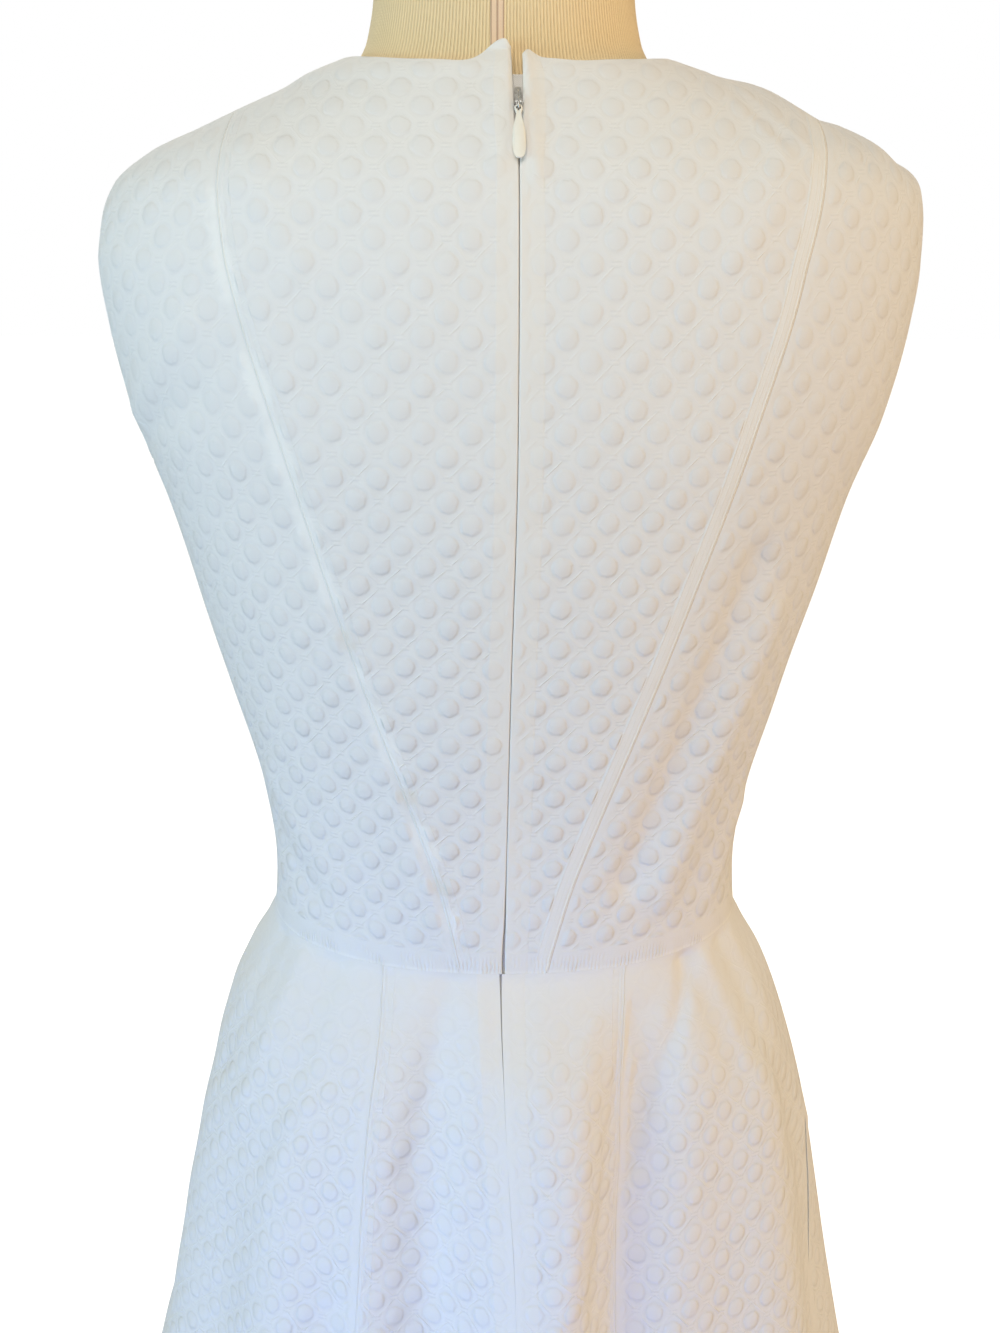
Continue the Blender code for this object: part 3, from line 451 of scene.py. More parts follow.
def top_height(offset, side):
    """Height of a centre panel's top edge: the neckline, then the shoulder seam. The front has no side."""
    part = np.clip(offset / NECK_POINT[0], 0, 1)
    if side:
        peak, place, width = ZIP_HUMPS[side]
        reach, share = CORNER_ROUND
        corner = peak * np.exp(-(((offset - place) / width) ** 2)) * (1 - share * np.exp(-((offset / reach) ** 2)))
        nape = NAPE + NAPE_LIFTS[side] * (1 - part)
        nape = nape + NECK_WAVE * np.sin(offset * NECK_WAVE_RATE + side) * (1 - part)
        neckline = nape + (NECK_POINT[1] - nape) * part**2 + corner
    else:
        neckline = FRONT_NECK + (NECK_POINT[1] - FRONT_NECK) * (1 - np.sqrt(1 - part**2))
    return np.where(offset >= NECK_POINT[0], ridge_height(offset), neckline)


def cut_panel(name, columns, rows, place, grain, edges, band=None, zip_edge=None, straight_waist=False,
              stretch=BODICE_STRETCH, line=0.0):
    """A panel of cloth as a fine grid on the worn body, given its roll at the edges and its thickness.

    place(s, t) gives azimuth and height of the grid's points, grain(height) the azimuth of its grain line, and
    edges the finish of its low-azimuth, high-azimuth, lower and upper edge: a roll, or a function that says where
    the edge is turned and not sewn. band says which of them has the seam allowances pressed under it, zip_edge
    which one is at the zip, and line how strongly the seam's line, a painted highlight with a painted shadow
    beside it, and its wide band show.
    """
    piece = new_grid(name, columns, rows)
    mesh = piece.data
    flat = np.empty(len(mesh.vertices) * 3)
    mesh.vertices.foreach_get("co", flat)
    flat = flat.reshape(-1, 3)
    order = np.lexsort((flat[:, 0].round(6), flat[:, 1].round(6)))
    across = len(np.unique(flat[:, 0].round(5)))
    shape = (len(flat) // across, across)
    s, t = (flat[order, k].reshape(shape) + 0.5 for k in (0, 1))
    s, t = (part - DENSER_EDGES * np.sin(2 * np.pi * part) / (2 * np.pi) for part in (s, t))
    azimuth, height = place(s, t)
    smooth = worn_body(azimuth, height)
    sideways = path_lengths(smooth, 1)
    upwards = path_lengths(smooth, 0)
    distances = (sideways, sideways[:, -1:] - sideways, upwards, upwards[-1:] - upwards)
    sunk = np.zeros(shape)
    for distance, edge in zip(distances, edges):
        if callable(edge):
            edge = np.moveaxis(np.where(edge(azimuth, height)[..., None], EDGE_ROLL, SEAM_ROLL), -1, 0)
        sunk = np.maximum(sunk, rolled(distance, edge))
    free = np.minimum(1, np.minimum.reduce(distances) / CREASE_FADE)
    lifted = creasing(azimuth, height) * (CREASE_AT_EDGE + (1 - CREASE_AT_EDGE) * free) - sunk
    points = smooth + facing(azimuth, height) * lifted[..., None]
    points[..., 2] += WAIST
    placed = np.empty_like(flat)
    placed[order] = points.reshape(-1, 3)
    mesh.vertices.foreach_set("co", placed.ravel())

    lines = np.linspace(ARC_HEIGHTS[0], ARC_HEIGHTS[-1], 400)
    grain_points = worn_body(grain(lines), lines)
    grain_lengths = np.concatenate(([0], np.cumsum(np.linalg.norm(np.diff(grain_points, axis=0), axis=1))))
    grain_lengths -= np.interp(0, lines, grain_lengths)
    u = girth(azimuth, height) - girth(grain(height), height)
    v = np.interp(height, lines, grain_lengths)
    uv = np.empty((len(flat), 2))
    uv[order] = np.stack((u, v), axis=-1).reshape(-1, 2) / stretch
    corners = np.empty(len(mesh.loops), int)
    mesh.loops.foreach_get("vertex_index", corners)
    mesh.uv_layers[0].name = "grain"
    mesh.uv_layers[0].data.foreach_set("uv", uv[corners].ravel())
    far = np.ones(shape)
    patches = np.zeros(shape)
    from_seam = np.where(smooth[..., 1] > 0, smooth[..., 0] - back_princess(height), 1.0) / WORN_HALF_WIDTH
    for patch_height, length, strength in WORN:
        patches += strength * np.exp(-(from_seam**2) - ((height - patch_height) / length) ** 2)
    measures = {
        "seam_line_shading": np.full(shape, line),
        "seam_away": distances[band] if band is not None else far,
        "zip_away": distances[zip_edge] if zip_edge is not None else far,
        "worn": patches,
        "waist_away": distances[2] if straight_waist else far,
        "below_waist": np.clip(-height, 0, 1) if not straight_waist else far,
        "edge_away": np.minimum.reduce(distances),
    }
    for label, values in measures.items():
        attribute = mesh.attributes.new(label, "FLOAT", "POINT")
        stored = np.empty(len(flat))
        stored[order] = values.ravel()
        attribute.data.foreach_set("value", stored)
    mesh.update()
    wall = piece.modifiers.new("wall", "SOLIDIFY")
    wall.thickness = CLOTH
    wall.offset = -1
    bpy.ops.object.modifier_apply(modifier="wall")
    bpy.ops.object.shade_smooth_by_angle(angle=math.radians(55))
    cells = np.linalg.norm(np.cross(np.diff(smooth, axis=0)[:, :-1], np.diff(smooth, axis=1)[:-1]), axis=-1)
    piece["cut_area"] = float(cells.sum())
    piece["cut_width"] = float(sideways[:, -1].max())
    piece["cut_length"] = float(upwards[-1].max())
    return piece


class Wire:
    """An output of a material's node. Arithmetic on it adds Math nodes."""

    def __init__(self, maker, output):
        self.maker, self.output = maker, output

    def math(self, operation, *values):
        inputs = {index: value for index, value in enumerate(values)}
        return self.maker.node("Math", {"operation": operation}, inputs)

    def __add__(self, other):
        return self.math("ADD", self, other)

    def __sub__(self, other):
        return self.math("SUBTRACT", self, other)

    def __rsub__(self, other):
        return self.math("SUBTRACT", other, self)

    def __mul__(self, other):
        return self.math("MULTIPLY", self, other)

    def __truediv__(self, other):
        return self.math("DIVIDE", self, other)

    def __pow__(self, other):
        return self.math("POWER", self, other)

    def __abs__(self):
        return self.math("ABSOLUTE", self)

    __radd__, __rmul__ = __add__, __mul__

    def least(self, other):
        return self.math("MINIMUM", self, other)

    def most(self, other):
        return self.math("MAXIMUM", self, other)

    def sine(self):
        return self.math("SINE", self)

    def offset_from_whole(self):
        """Signed distance to the nearest whole number."""
        return self - self.math("ROUND", self)

    def fade(self, start, end):
        """Smoothly from 0 at start to 1 at end."""
        settings = {"interpolation_type": "SMOOTHSTEP"}
        return self.maker.node("MapRange", settings, {"Value": self, "From Min": start, "From Max": end})


class Finish:
    """A material in the making: a Principled shader and the nodes that feed it."""

    def __init__(self, name):
        self.material = bpy.data.materials.new(name)
        self.material.use_nodes = True
        self.tree = self.material.node_tree
        self.shader = self.tree.nodes["Principled BSDF"]

    def node(self, kind, settings=None, inputs=None, output=0):
        made = self.tree.nodes.new("ShaderNode" + kind)
        for key, value in (settings or {}).items():
            setattr(made, key, value)
        for key, value in (inputs or {}).items():
            self.feed(made.inputs[key], value)
        return Wire(self, made.outputs[output])

    def feed(self, socket, value):
        if isinstance(value, Wire):
            self.tree.links.new(value.output, socket)
        else:
            socket.default_value = value

    def mix(self, share, first, second):
        inputs = {0: share, 6: first, 7: second}
        return self.node("Mix", {"data_type": "RGBA"}, inputs, 2)

    def bump(self, height, distance):
        return self.node("Bump", None, {"Height": height, "Distance": distance, "Strength": 1.0})

    def noise(self, vector, scale, detail=3.0):
        return self.node("TexNoise", None, {"Vector": vector, "Scale": scale, "Detail": detail})

    def shade(self, **values):
        for name, value in values.items():
            self.feed(self.shader.inputs[name.replace("_", " ").title().replace("Ior", "IOR")], value)
        return self.material


REPEAT = (19.2, 19.1)  # mm across and along the grain
DISC_RADIUS = 4.25
DISC_EDGE, DISC_WAVER = 1.3, 1.5
GROOVE_RADIUS, GROOVE_HALF_WIDTH = 5.0, 1.3
KNOT = (2.4, 0.5)
KNOT_LIFT = 0.85  # each knot is two short bars, this far above and below its middle
CORD_HALF_WIDTH = 0.34
PAD_RADIUS = 1.5
HEIGHTS = {
    "disc": 0.17, "dome": 0.42, "groove": -0.11, "rising_cord": 0.24, "falling_cord": 0.26, "rising_rows": 0.24,
    "falling_rows": 0.04, "knot": 0.20, "pad": 0.14, "weave": 0.016, "band": 0.12, "zip_band": 0.10, "comb": 0.16,
    "ridge": 0.10, "pucker": 0.35,
}
TONES = {  # colour, and how strongly it tints the cloth
    "whitened": ((0.90, 0.90, 0.895, 1), 0.7), "tanned": ((0.70, 0.60, 0.46, 1), 0.3),
    # The seam line's tone here is a painted shadow beside a seam's raised edge.
    "pressed": ((0.89, 0.91, 0.91, 1), 0.25), "seam_line_shading": ((0.56, 0.45, 0.34, 1), 0.5),
    # The waist's tone here is a painted highlight on the bodice's edge at the waist seam.
    "waist": ((0.90, 0.90, 0.89, 1), 0.6), "zip": ((0.86, 0.80, 0.72, 1), 0.3),
}
# The hollow and raised tones paint the relief's shade and light into the cloth's colour; the edging tone is a painted
# highlight on a seam's raised edge.
SHADED_HOLLOW_TONE, LIT_RAISED_TONE, EDGE_HIGHLIGHT_TONE = (0.70, 0.70, 0.72, 1), (0.83, 0.83, 0.835, 1), (0.97, 0.95, 0.89, 1)
RIDGES = ((1.15, 0.5, 3.0), (2.7, 0.4, 1.0), (4.7, 0.4, 0.8), (7.3, 0.5, 1.3))  # mm from the seam, half width, share
SEAM_BAND, SLIM_BAND = 8.0, 3.4
ZIP_BAND = 11.0
WAIST_BAND = 12.0
CALMER_ABOVE = (1.14, 1.36)  # the bodice's pattern is pulled flatter towards the shoulders


def white_jacquard():
    """Cotton jacquard: raised discs on a centred lattice, with a trellis of thin cords and a knot where they cross."""
    cloth = Finish("white_jacquard")
    grain = cloth.node("UVMap", {"uv_map": "grain"})
    parts = cloth.node("SeparateXYZ", None, {"Vector": grain})
    across = parts * 1000
    along = Wire(cloth, parts.output.node.outputs[1]) * 1000
    slip = cloth.noise(grain, 38.0, 1.0) - 0.5
    u = across / REPEAT[0] + slip * 0.035
    v = along / REPEAT[1] - slip * 0.03

    def lattice(du, dv, width, height):
        """Distance to the nearest point of a lattice, in units of width across and height along."""
        x = (u + du).offset_from_whole() * (REPEAT[0] / width)
        y = (v + dv).offset_from_whole() * (REPEAT[1] / height)
        return (x * x + y * y) ** 0.5

    disc = lattice(0.0, 0.0, 1.0, 1.04).least(lattice(0.5, 0.5, 1.0, 1.04))
    disc = disc + (cloth.noise(grain, 330.0, 1.0) - 0.5) * DISC_WAVER
    lift = KNOT_LIFT / REPEAT[1]
    knot = lattice(0.5, lift, *KNOT).least(lattice(0.5, -lift, *KNOT))
    knot = knot.least(lattice(0.0, 0.5 + lift, *KNOT)).least(lattice(0.0, 0.5 - lift, *KNOT))
    across_cords = sum(REPEAT) / 2 / math.sqrt(2)
    rising = abs((u - v + 0.5).offset_from_whole()) * across_cords
    falling = abs((u + v + 0.5).offset_from_whole()) * across_cords
    discs = disc.fade(DISC_RADIUS + DISC_EDGE / 2, DISC_RADIUS - DISC_EDGE / 2)
    dome = (1 - (disc / DISC_RADIUS) ** 2.0).most(0.0)
    groove = (1 - abs(disc - GROOVE_RADIUS) / GROOVE_HALF_WIDTH).most(0.0)
    knots = knot.fade(1.3, 0.4)
    pads = lattice(0.5, 0.0, 1.0, 1.0).least(lattice(0.0, 0.5, 1.0, 1.0)).fade(PAD_RADIUS + 0.5, PAD_RADIUS - 0.5)
    outside = disc.fade(GROOVE_RADIUS - 0.4, GROOVE_RADIUS + 0.6)
    rising = rising.fade(CORD_HALF_WIDTH * 1.6, CORD_HALF_WIDTH * 0.2) * outside
    falling = falling.fade(CORD_HALF_WIDTH * 1.6, CORD_HALF_WIDTH * 0.2) * outside

    def away(label):
        return cloth.node("Attribute", {"attribute_name": label}, None, 2) * 1000

    def tinted(colour, mask, tone):
        tint, share = TONES[tone]
        return cloth.mix(mask * share, colour, tint)

    seam, waist, edge, below = away("seam_away"), away("waist_away"), away("edge_away"), away("below_waist")
    beside_zip = away("zip_away")
    worn = away("worn") / 1000
    line = away("seam_line_shading") / 1000
    half_band = line * (SEAM_BAND - SLIM_BAND) + SLIM_BAND
    band = (seam - half_band).fade(0.5, -0.5)
    zip_band = beside_zip.fade(ZIP_BAND + 0.5, ZIP_BAND - 0.5)
    waist_band = waist.fade(WAIST_BAND + 0.8, WAIST_BAND - 0.8)
    flat = band.most(waist_band)
    tall = cloth.node("SeparateXYZ", None, {"Vector": cloth.node("TexCoord", None, None, 3)}, 2)
    patchy = cloth.noise(grain, 55.0, 2.0).fade(0.25, 0.75) * 0.5 + 0.7
    patchy = patchy * (1 - tall.fade(*CALMER_ABOVE) * 0.42)
    relief = (1 - flat * 0.9) * (1 - zip_band * 0.35) * edge.fade(1.0, 5.0) * (below.fade(5.0, 75.0) * 0.8 + 0.2)
    hanging = below.fade(620.0, 600.0)
    relief = relief * patchy
    dome = dome * (1 - hanging * 0.4)
    pattern = discs * HEIGHTS["disc"] + dome * HEIGHTS["dome"] + groove * HEIGHTS["groove"]
    falling = falling * (hanging * 0.6 + 0.4)
    cords = (rising * HEIGHTS["rising_cord"]).most(falling * HEIGHTS["falling_cord"])
    cords = cords * (cloth.noise(grain, 170.0, 1.0).fade(0.35, 0.6) * 0.8 + 0.2)
    pattern = pattern + cords.most(knots * HEIGHTS["knot"]).most(pads * HEIGHTS["pad"])
    rising_rows = ((u - v) * (2 * math.pi) + math.pi / 2).sine()
    falling_rows = ((u + v) * (2 * math.pi) + math.pi / 2).sine()
    pattern = pattern + rising_rows * HEIGHTS["rising_rows"] + falling_rows * HEIGHTS["falling_rows"]
    weave = (across * 9.0).sine() * (along * 8.0).sine()
    uneven = cloth.noise(grain, 260.0, 2.0)
    comb = (across * 3.3 + uneven * 5.0).sine() * cloth.noise(grain, 90.0, 1.0).fade(0.35, 0.65)
    ridges = None
    for place, half, share in RIDGES:
        ridge = (1 - abs(seam - place) / half).most(0.0) * share
        ridges = ridge if ridges is None else ridges + ridge
    height = pattern * relief + weave * HEIGHTS["weave"] + flat * HEIGHTS["band"] + ridges * HEIGHTS["ridge"]
    height = height + comb * waist.fade(WAIST_BAND, 3.0) * HEIGHTS["comb"] + uneven * 0.03
    height = height + zip_band * HEIGHTS["zip_band"] + cloth.noise(grain, 75.0, 2.0) * HEIGHTS["pucker"]
    # Painted shade and highlight of the relief: the grooves round the discs and the knots' bars are painted darker as
    # shade, the raised cords and pads lighter as painted highlights, and the discs a little darker than the ground.
    shade = 0.80 - (discs * (0.22 - hanging * 0.17) + groove * 0.34 + knots * 0.5 - cords * (hanging * 0.9 + 1.1)
                    - pads * 0.15) * relief
    colour = cloth.mix(shade.least(1.0), SHADED_HOLLOW_TONE, LIT_RAISED_TONE)
    frayed = cloth.noise(grain, 160.0, 3.0) - 0.5
    whiter = (worn + frayed * 0.7).fade(0.15, 0.75)
    tanned = (worn + frayed * 0.7).fade(-0.15, -0.75)
    colour = tinted(colour, whiter, "whitened")
    colour = tinted(colour, tanned, "tanned")
    colour = tinted(colour, band * line, "pressed")
    # Painted highlight: a thin cream line along the seam's raised edge, about 1.25 mm from the seam.
    edge_highlight = (1 - abs(seam - 1.25) / 0.55).most(0.0) * (line * 0.6 + 0.3)
    colour = cloth.mix(edge_highlight, colour, EDGE_HIGHLIGHT_TONE)
    # Painted shadow: a thin brown line right at the seam, where the lower panel meets the raised edge.
    colour = tinted(colour, seam.fade(0.7, 0.35) * line, "seam_line_shading")
    # Painted highlight: a lighter line on the bodice's edge along the waist seam.
    colour = tinted(colour, waist.fade(2.5, 0.5), "waist")
    colour = tinted(colour, zip_band, "zip")
    cloth.shader.inputs["Specular IOR Level"].default_value = 0.25
    cloth.shader.inputs["Sheen Weight"].default_value = 0.15
    cloth.shader.inputs["Sheen Roughness"].default_value = 0.5
    rough = 0.78 - shade * 0.08
    return cloth.shade(base_color=colour, roughness=rough, normal=cloth.bump(height, 0.001))


jacquard = white_jacquard()
BODY = "dress_and_form"


def sew_in(piece, node):
    """The panel stands for its solid: it takes the jacquard, its solid is hidden, it joins the body, and its cut's
    measures along the cloth are taken off it.
    """
    piece.data.materials.append(jacquard)
    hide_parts(node)
    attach(piece, BODY)
    for key in ("cut_width", "cut_length", "cut_area"):
        del piece[key]


def mirrored(side, azimuth):
    """An azimuth on the wearer's left, or its mirror image on the right."""
    return azimuth if side > 0 else np.pi - azimuth


PRINCESS_TOP_HEIGHT = float(ridge_height(PRINCESS_TOP))
for side, word in ((1, "left"), (-1, "right")):

    def centre_back_place(s, t, side=side):
        share = 1 - s if side > 0 else s
        height = np.maximum(t * top_height(share * PRINCESS_TOP, side), SEAM_GAP / 2)
        seam = back_princess(t * PRINCESS_TOP_HEIGHT)
        opening = ZIP_GAP / 2 + parting(height) * (1 - share) ** 4
        offset = opening + share * (seam - SEAM_GAP / 2 - opening) + side * wander(height)
        return mirrored(side, azimuth_at(offset, height)), height

    def centre_grain(height, side=side):
        return mirrored(side, azimuth_at(0.0, height))

    def at_neckline(azimuth, height):
        return (np.abs(worn_body(azimuth, height)[..., 0]) < NECK_POINT[0]) & (height > 0.2)

    edges = (FLAT_ROLL, EDGE_ROLL) if side > 0 else (EDGE_ROLL, SEAM_ROLL)
    panel = cut_panel(
        f"back_{word}", 60, 170, centre_back_place, centre_grain, (*edges, SEAM_ROLL, at_neckline),
        band=0 if side > 0 else 1, zip_edge=1 if side > 0 else 0, straight_waist=True,
        line=0.15 if side > 0 else 1.0,
    )
    sew_in(panel, f"bodice_back_{word}")

# ---------------------------------------------------------------------------------------------------
# Side back panels: from the princess seam to the side seam, up to the armhole and the shoulder. Their
# grain leans outwards a little from the waist up, so the lattice of discs leans with it.
UNDERARM = 0.232
ARMHOLE = [  # height, azimuth of the edge behind and in front
    (0.232, 0.0, 0.0),
    (0.238, 9.0, 14.0),
    (0.250, 14.0, 24.0),
    (0.275, 17.0, 32.0),
    (0.300, 18.0, 36.0),
    (0.330, 16.5, 33.0),
    (0.352, 11.0, 20.0),
    (0.366, 0.0, 0.0),
]
SIDE_GRAIN = [(0.0, 0.080), (0.10, 0.086), (0.20, 0.097), (0.28, 0.102), (0.366, 0.092)]  # height, from the centre
side_grain_line = smooth_curve(SIDE_GRAIN, 1)
armhole_back, armhole_front = smooth_curve(ARMHOLE, 1), smooth_curve(ARMHOLE, 2)


def side_place(s, t, side, seam, armhole, behind):
    """Places on a side panel, behind or in front, from its princess seam to its outer edge."""
    outwards = (side > 0) == behind
    share = 1 - s if outwards else s
    inner = np.maximum(t * PRINCESS_TOP_HEIGHT, SEAM_GAP / 2)
    outer = np.maximum(t * SHOULDER_POINT, SEAM_GAP / 2)
    offset = seam(inner) + SEAM_GAP / 2 + (side * wander(inner) if behind else 0)
    start = azimuth_at(offset, inner)
    end = np.maximum(edge_turn(outer), np.radians(armhole(outer)))
    azimuth = start + (end - start) * share
    return azimuth, inner + (outer - inner) * share


def at_armhole(azimuth, height):
    return height > UNDERARM


for side, word in ((1, "left"), (-1, "right")):

    def side_back_place(s, t, side=side):
        azimuth, height = side_place(s, t, side, back_princess, armhole_back, True)
        return mirrored(side, azimuth), height

    def side_back_grain(height, side=side):
        return mirrored(side, azimuth_at(side_grain_line(height), height))

    edges = (at_armhole, FLAT_ROLL) if side > 0 else (SEAM_ROLL, at_armhole)
    panel = cut_panel(
        f"side_back_{word}", 60, 160, side_back_place, side_back_grain, (*edges, SEAM_ROLL, SEAM_ROLL),
        straight_waist=True,
    )
    sew_in(panel, f"bodice_side_back_{word}")

# ---------------------------------------------------------------------------------------------------
# Front of the bodice: one panel cut on the fold, with a round neckline, between two princess seams that
# shape the bust, and a side front panel on each side of it.


def front_place(s, t):
    column = 2 * s - 1
    height = np.maximum(t * top_height(np.abs(column) * PRINCESS_TOP, 0), SEAM_GAP / 2)
    offset = np.abs(column) * (front_princess(t * PRINCESS_TOP_HEIGHT) - SEAM_GAP / 2)
    azimuth = azimuth_at(offset, height)
    return np.where(column < 0, azimuth + np.pi, 2 * np.pi - azimuth), height


def front_grain(height):
    return np.full_like(np.asarray(height, float), 1.5 * np.pi)


panel = cut_panel(
    "front", 110, 170, front_place, front_grain, (SEAM_ROLL, SEAM_ROLL, SEAM_ROLL, at_neckline),
    band=0, straight_waist=True,
)
sew_in(panel, "bodice_front")

for side, word in ((1, "left"), (-1, "right")):

    def side_front_place(s, t, side=side):
        azimuth, height = side_place(s, t, side, front_princess, armhole_front, False)
        return (2 * np.pi - azimuth if side > 0 else np.pi + azimuth), height

    def side_front_grain(height, side=side):
        azimuth = azimuth_at(side_grain_line(height), height)
        return 2 * np.pi - azimuth if side > 0 else np.pi + azimuth

    edges = (SEAM_ROLL, at_armhole) if side > 0 else (at_armhole, SEAM_ROLL)
    panel = cut_panel(
        f"side_front_{word}", 60, 160, side_front_place, side_front_grain, (*edges, SEAM_ROLL, SEAM_ROLL),
        straight_waist=True,
    )
    sew_in(panel, f"bodice_side_front_{word}")

# ---------------------------------------------------------------------------------------------------
# Skirt: seven gores that hang from the waist seam in uneven folds, with a turned hem. The side seams
# part a little where the pockets are.
GORE_SEAMS = [  # height, then the azimuth of each seam round from the centre back over the right side
    (-0.580, 106.5, 157.0, 243.0, 297.0, 357.0, 425.5),
    (-0.200, 106.5, 157.0, 243.0, 297.0, 357.0, 426.0),
    (-0.140, 107.0, 162.0, 242.0, 298.0, 357.0, 426.0),
    (-0.090, 108.3, 170.0, 241.0, 299.0, 358.0, 425.6),
    (-0.040, 111.0, 178.0, 240.5, 299.5, 360.0, 424.6),
    (0.000, 116.0, 180.0, 240.0, 300.0, 360.0, 421.0),
]
GORES = (  # node, columns of its mesh, which edge has the allowances under it
    ("skirt_back_right", 50, 1),
    ("skirt_side_back_right", 90, None),
    ("skirt_side_front_right", 96, None),
    ("skirt_front", 90, 0),
    ("skirt_side_front_left", 96, None),
    ("skirt_side_back_left", 96, None),
    ("skirt_back_left", 50, 0),
)
GORE_ROWS = 150
SIDE_SEAMS = (2, 5)
GRAIN_TURN = {5: math.radians(9)}  # the left side back gore's grain line drifts to the back over its upper part
POCKET_TOP, POCKET_BOTTOM, POCKET_PARTING = 0.085, 0.190, 0.0016
gore_seams = [smooth_curve(GORE_SEAMS, column) for column in range(1, 7)]


def centre_back_edge(height, side):
    offset = wander(height) * side + ZIP_GAP / 6 + parting(height)
    turn = np.arccos(np.clip(offset / half_width(height), -1, 1))
    return turn + 2 * np.pi if side > 0 else np.pi - turn


def gore_edge(number, side, height):
    """Azimuth of a gore's edge at a seam: side is 1 for the gore past the seam and -1 for the one before it."""
    if number == 0:
        return centre_back_edge(height, -1)
    if number > len(gore_seams):
        return centre_back_edge(height, 1)
    part = (-height - POCKET_TOP) / (POCKET_BOTTOM - POCKET_TOP)
    inside = (part > 0) & (part < 1) & (number in SIDE_SEAMS)
    pocket = np.where(inside, POCKET_PARTING * np.sin(np.pi * np.clip(part, 0, 1)) ** 0.7, 0)
    radius = (half_width(height) + back_depth(height)) / 2
    return np.radians(gore_seams[number - 1](height)) + side * (SEAM_GAP / 2 + pocket) / radius


for number, (node, columns, band) in enumerate(GORES):

    def gore_place(s, t, number=number):
        height = np.minimum((t - 1) * SKIRT_LENGTH, -SEAM_GAP / 2)
        start, end = gore_edge(number, 1, height), gore_edge(number + 1, -1, height)
        return start + (end - start) * s, height

    def gore_grain(height, number=number):
        down = np.minimum(np.asarray(height, float), 0)
        start, end = gore_edge(number, 1, down), gore_edge(number + 1, -1, down)
        middle = (start + end) / 2 + GRAIN_TURN.get(number, 0.0) * np.clip(-down / 0.15, 0, 1)
        return {0: start, len(GORES) - 1: end}.get(number, middle)

    panel = cut_panel(
        node.replace("skirt_", "gore_"), columns, GORE_ROWS, gore_place, gore_grain,
        (FLAT_ROLL, FLAT_ROLL, EDGE_ROLL, SEAM_ROLL), band=band, zip_edge={0: 0, 6: 1}.get(number),
        stretch=SKIRT_STRETCH,
    )
    sew_in(panel, node)

# ---------------------------------------------------------------------------------------------------
# Dress form: a padded body covered in ribbed beige jersey, with a woven tape down its centre back. It is
# cut off flat at the arms and the hips, and closed by a turned wooden cap at the neck.
FORM_EASE = 0.0070
SHOULDER_EASE = 0.0024
SHOULDER_SEAT = (0.386, 0.020)
FRONT_NECK_EASE = 0.003
ARM_PLATE = 0.166
NECK_SHIFT = 0.0035
NECK_TOP = 0.500
FORM_HIPS = [  # height, half width, back depth, front depth
    (-0.265, 0.1480, 0.100, 0.084),
    (-0.245, 0.1560, 0.108, 0.089),
    (-0.200, 0.1600, 0.114, 0.092),
    (-0.150, 0.1580, 0.115, 0.093),
    (-0.100, 0.1470, 0.107, 0.092),
    (-0.060, 0.1330, 0.096, 0.089),
    (-0.025, 0.1190, 0.085, 0.086),
]
FORM_NECK = [
    (0.4110, 0.0650, 0.0570, 0.0475),
    (0.4190, 0.0610, 0.0550, 0.0470),
    (0.4380, 0.0575, 0.0525, 0.0470),
    (0.4600, 0.0565, 0.0515, 0.0470),
    (NECK_TOP, 0.0565, 0.0510, 0.0480),
]
FORM_COLUMNS = 180
FORM_BODY_ROWS, FORM_END_ROWS = 90, 40
FORM_BODY_TOP = 0.406
SEAT_POWER = 8  # how fast the shoulders' seat fades round from the sides
FRONT_NECK_FROM, FRONT_NECK_FADE, FRONT_SIDE = 0.34, 0.02, 0.5  # where the form sinks under the front neckline
RIBS_ROUND_NECK = 244
TAPE_PLACE = 0.0078  # centre of the tape, towards the wearer's left
TAPE_WIDTH = 0.0056


def closed_skin(name, rings, finish):
    """A closed solid through rings of points, from the bottom up: a grid joined round and filled at both ends."""
    rings = np.asarray(rings)
    rows, columns = rings.shape[:2]
    piece = new_grid(name, columns, rows - 1)
    flat = np.empty(len(piece.data.vertices) * 3)
    piece.data.vertices.foreach_get("co", flat)
    flat = flat.reshape(-1, 3)
    column = np.rint((flat[:, 0] + 0.5) * columns).astype(int) % columns
    row = np.rint((flat[:, 1] + 0.5) * (rows - 1)).astype(int)
    piece.data.vertices.foreach_set("co", rings[row, column].ravel())
    bpy.ops.object.mode_set(mode="EDIT")
    bpy.ops.mesh.select_all(action="SELECT")
    bpy.ops.mesh.remove_doubles(threshold=0.00001)
    bpy.ops.mesh.select_all(action="DESELECT")
    bpy.ops.mesh.select_mode(type="EDGE")
    bpy.ops.mesh.select_non_manifold(extend=False)
    bpy.ops.mesh.fill_holes(sides=0)
    bpy.ops.mesh.select_all(action="SELECT")
    bpy.ops.mesh.normals_make_consistent(inside=False)
    bpy.ops.object.mode_set(mode="OBJECT")
    bpy.ops.object.shade_smooth_by_angle(angle=math.radians(40))
    piece.data.materials.append(finish)
    return piece


def oval_ring(height, across, behind, before, shift=0.0, squareness_of=2.2):
    turns = np.linspace(0, 2 * np.pi, FORM_COLUMNS, endpoint=False)
    cosine, sine = np.cos(turns), np.sin(turns)
    x = shift + across * power(cosine, 2 / squareness_of)
    y = np.where(sine >= 0, behind, before) * power(sine, 2 / squareness_of)
    return np.stack((x, y, np.full_like(x, height + WAIST)), axis=-1)


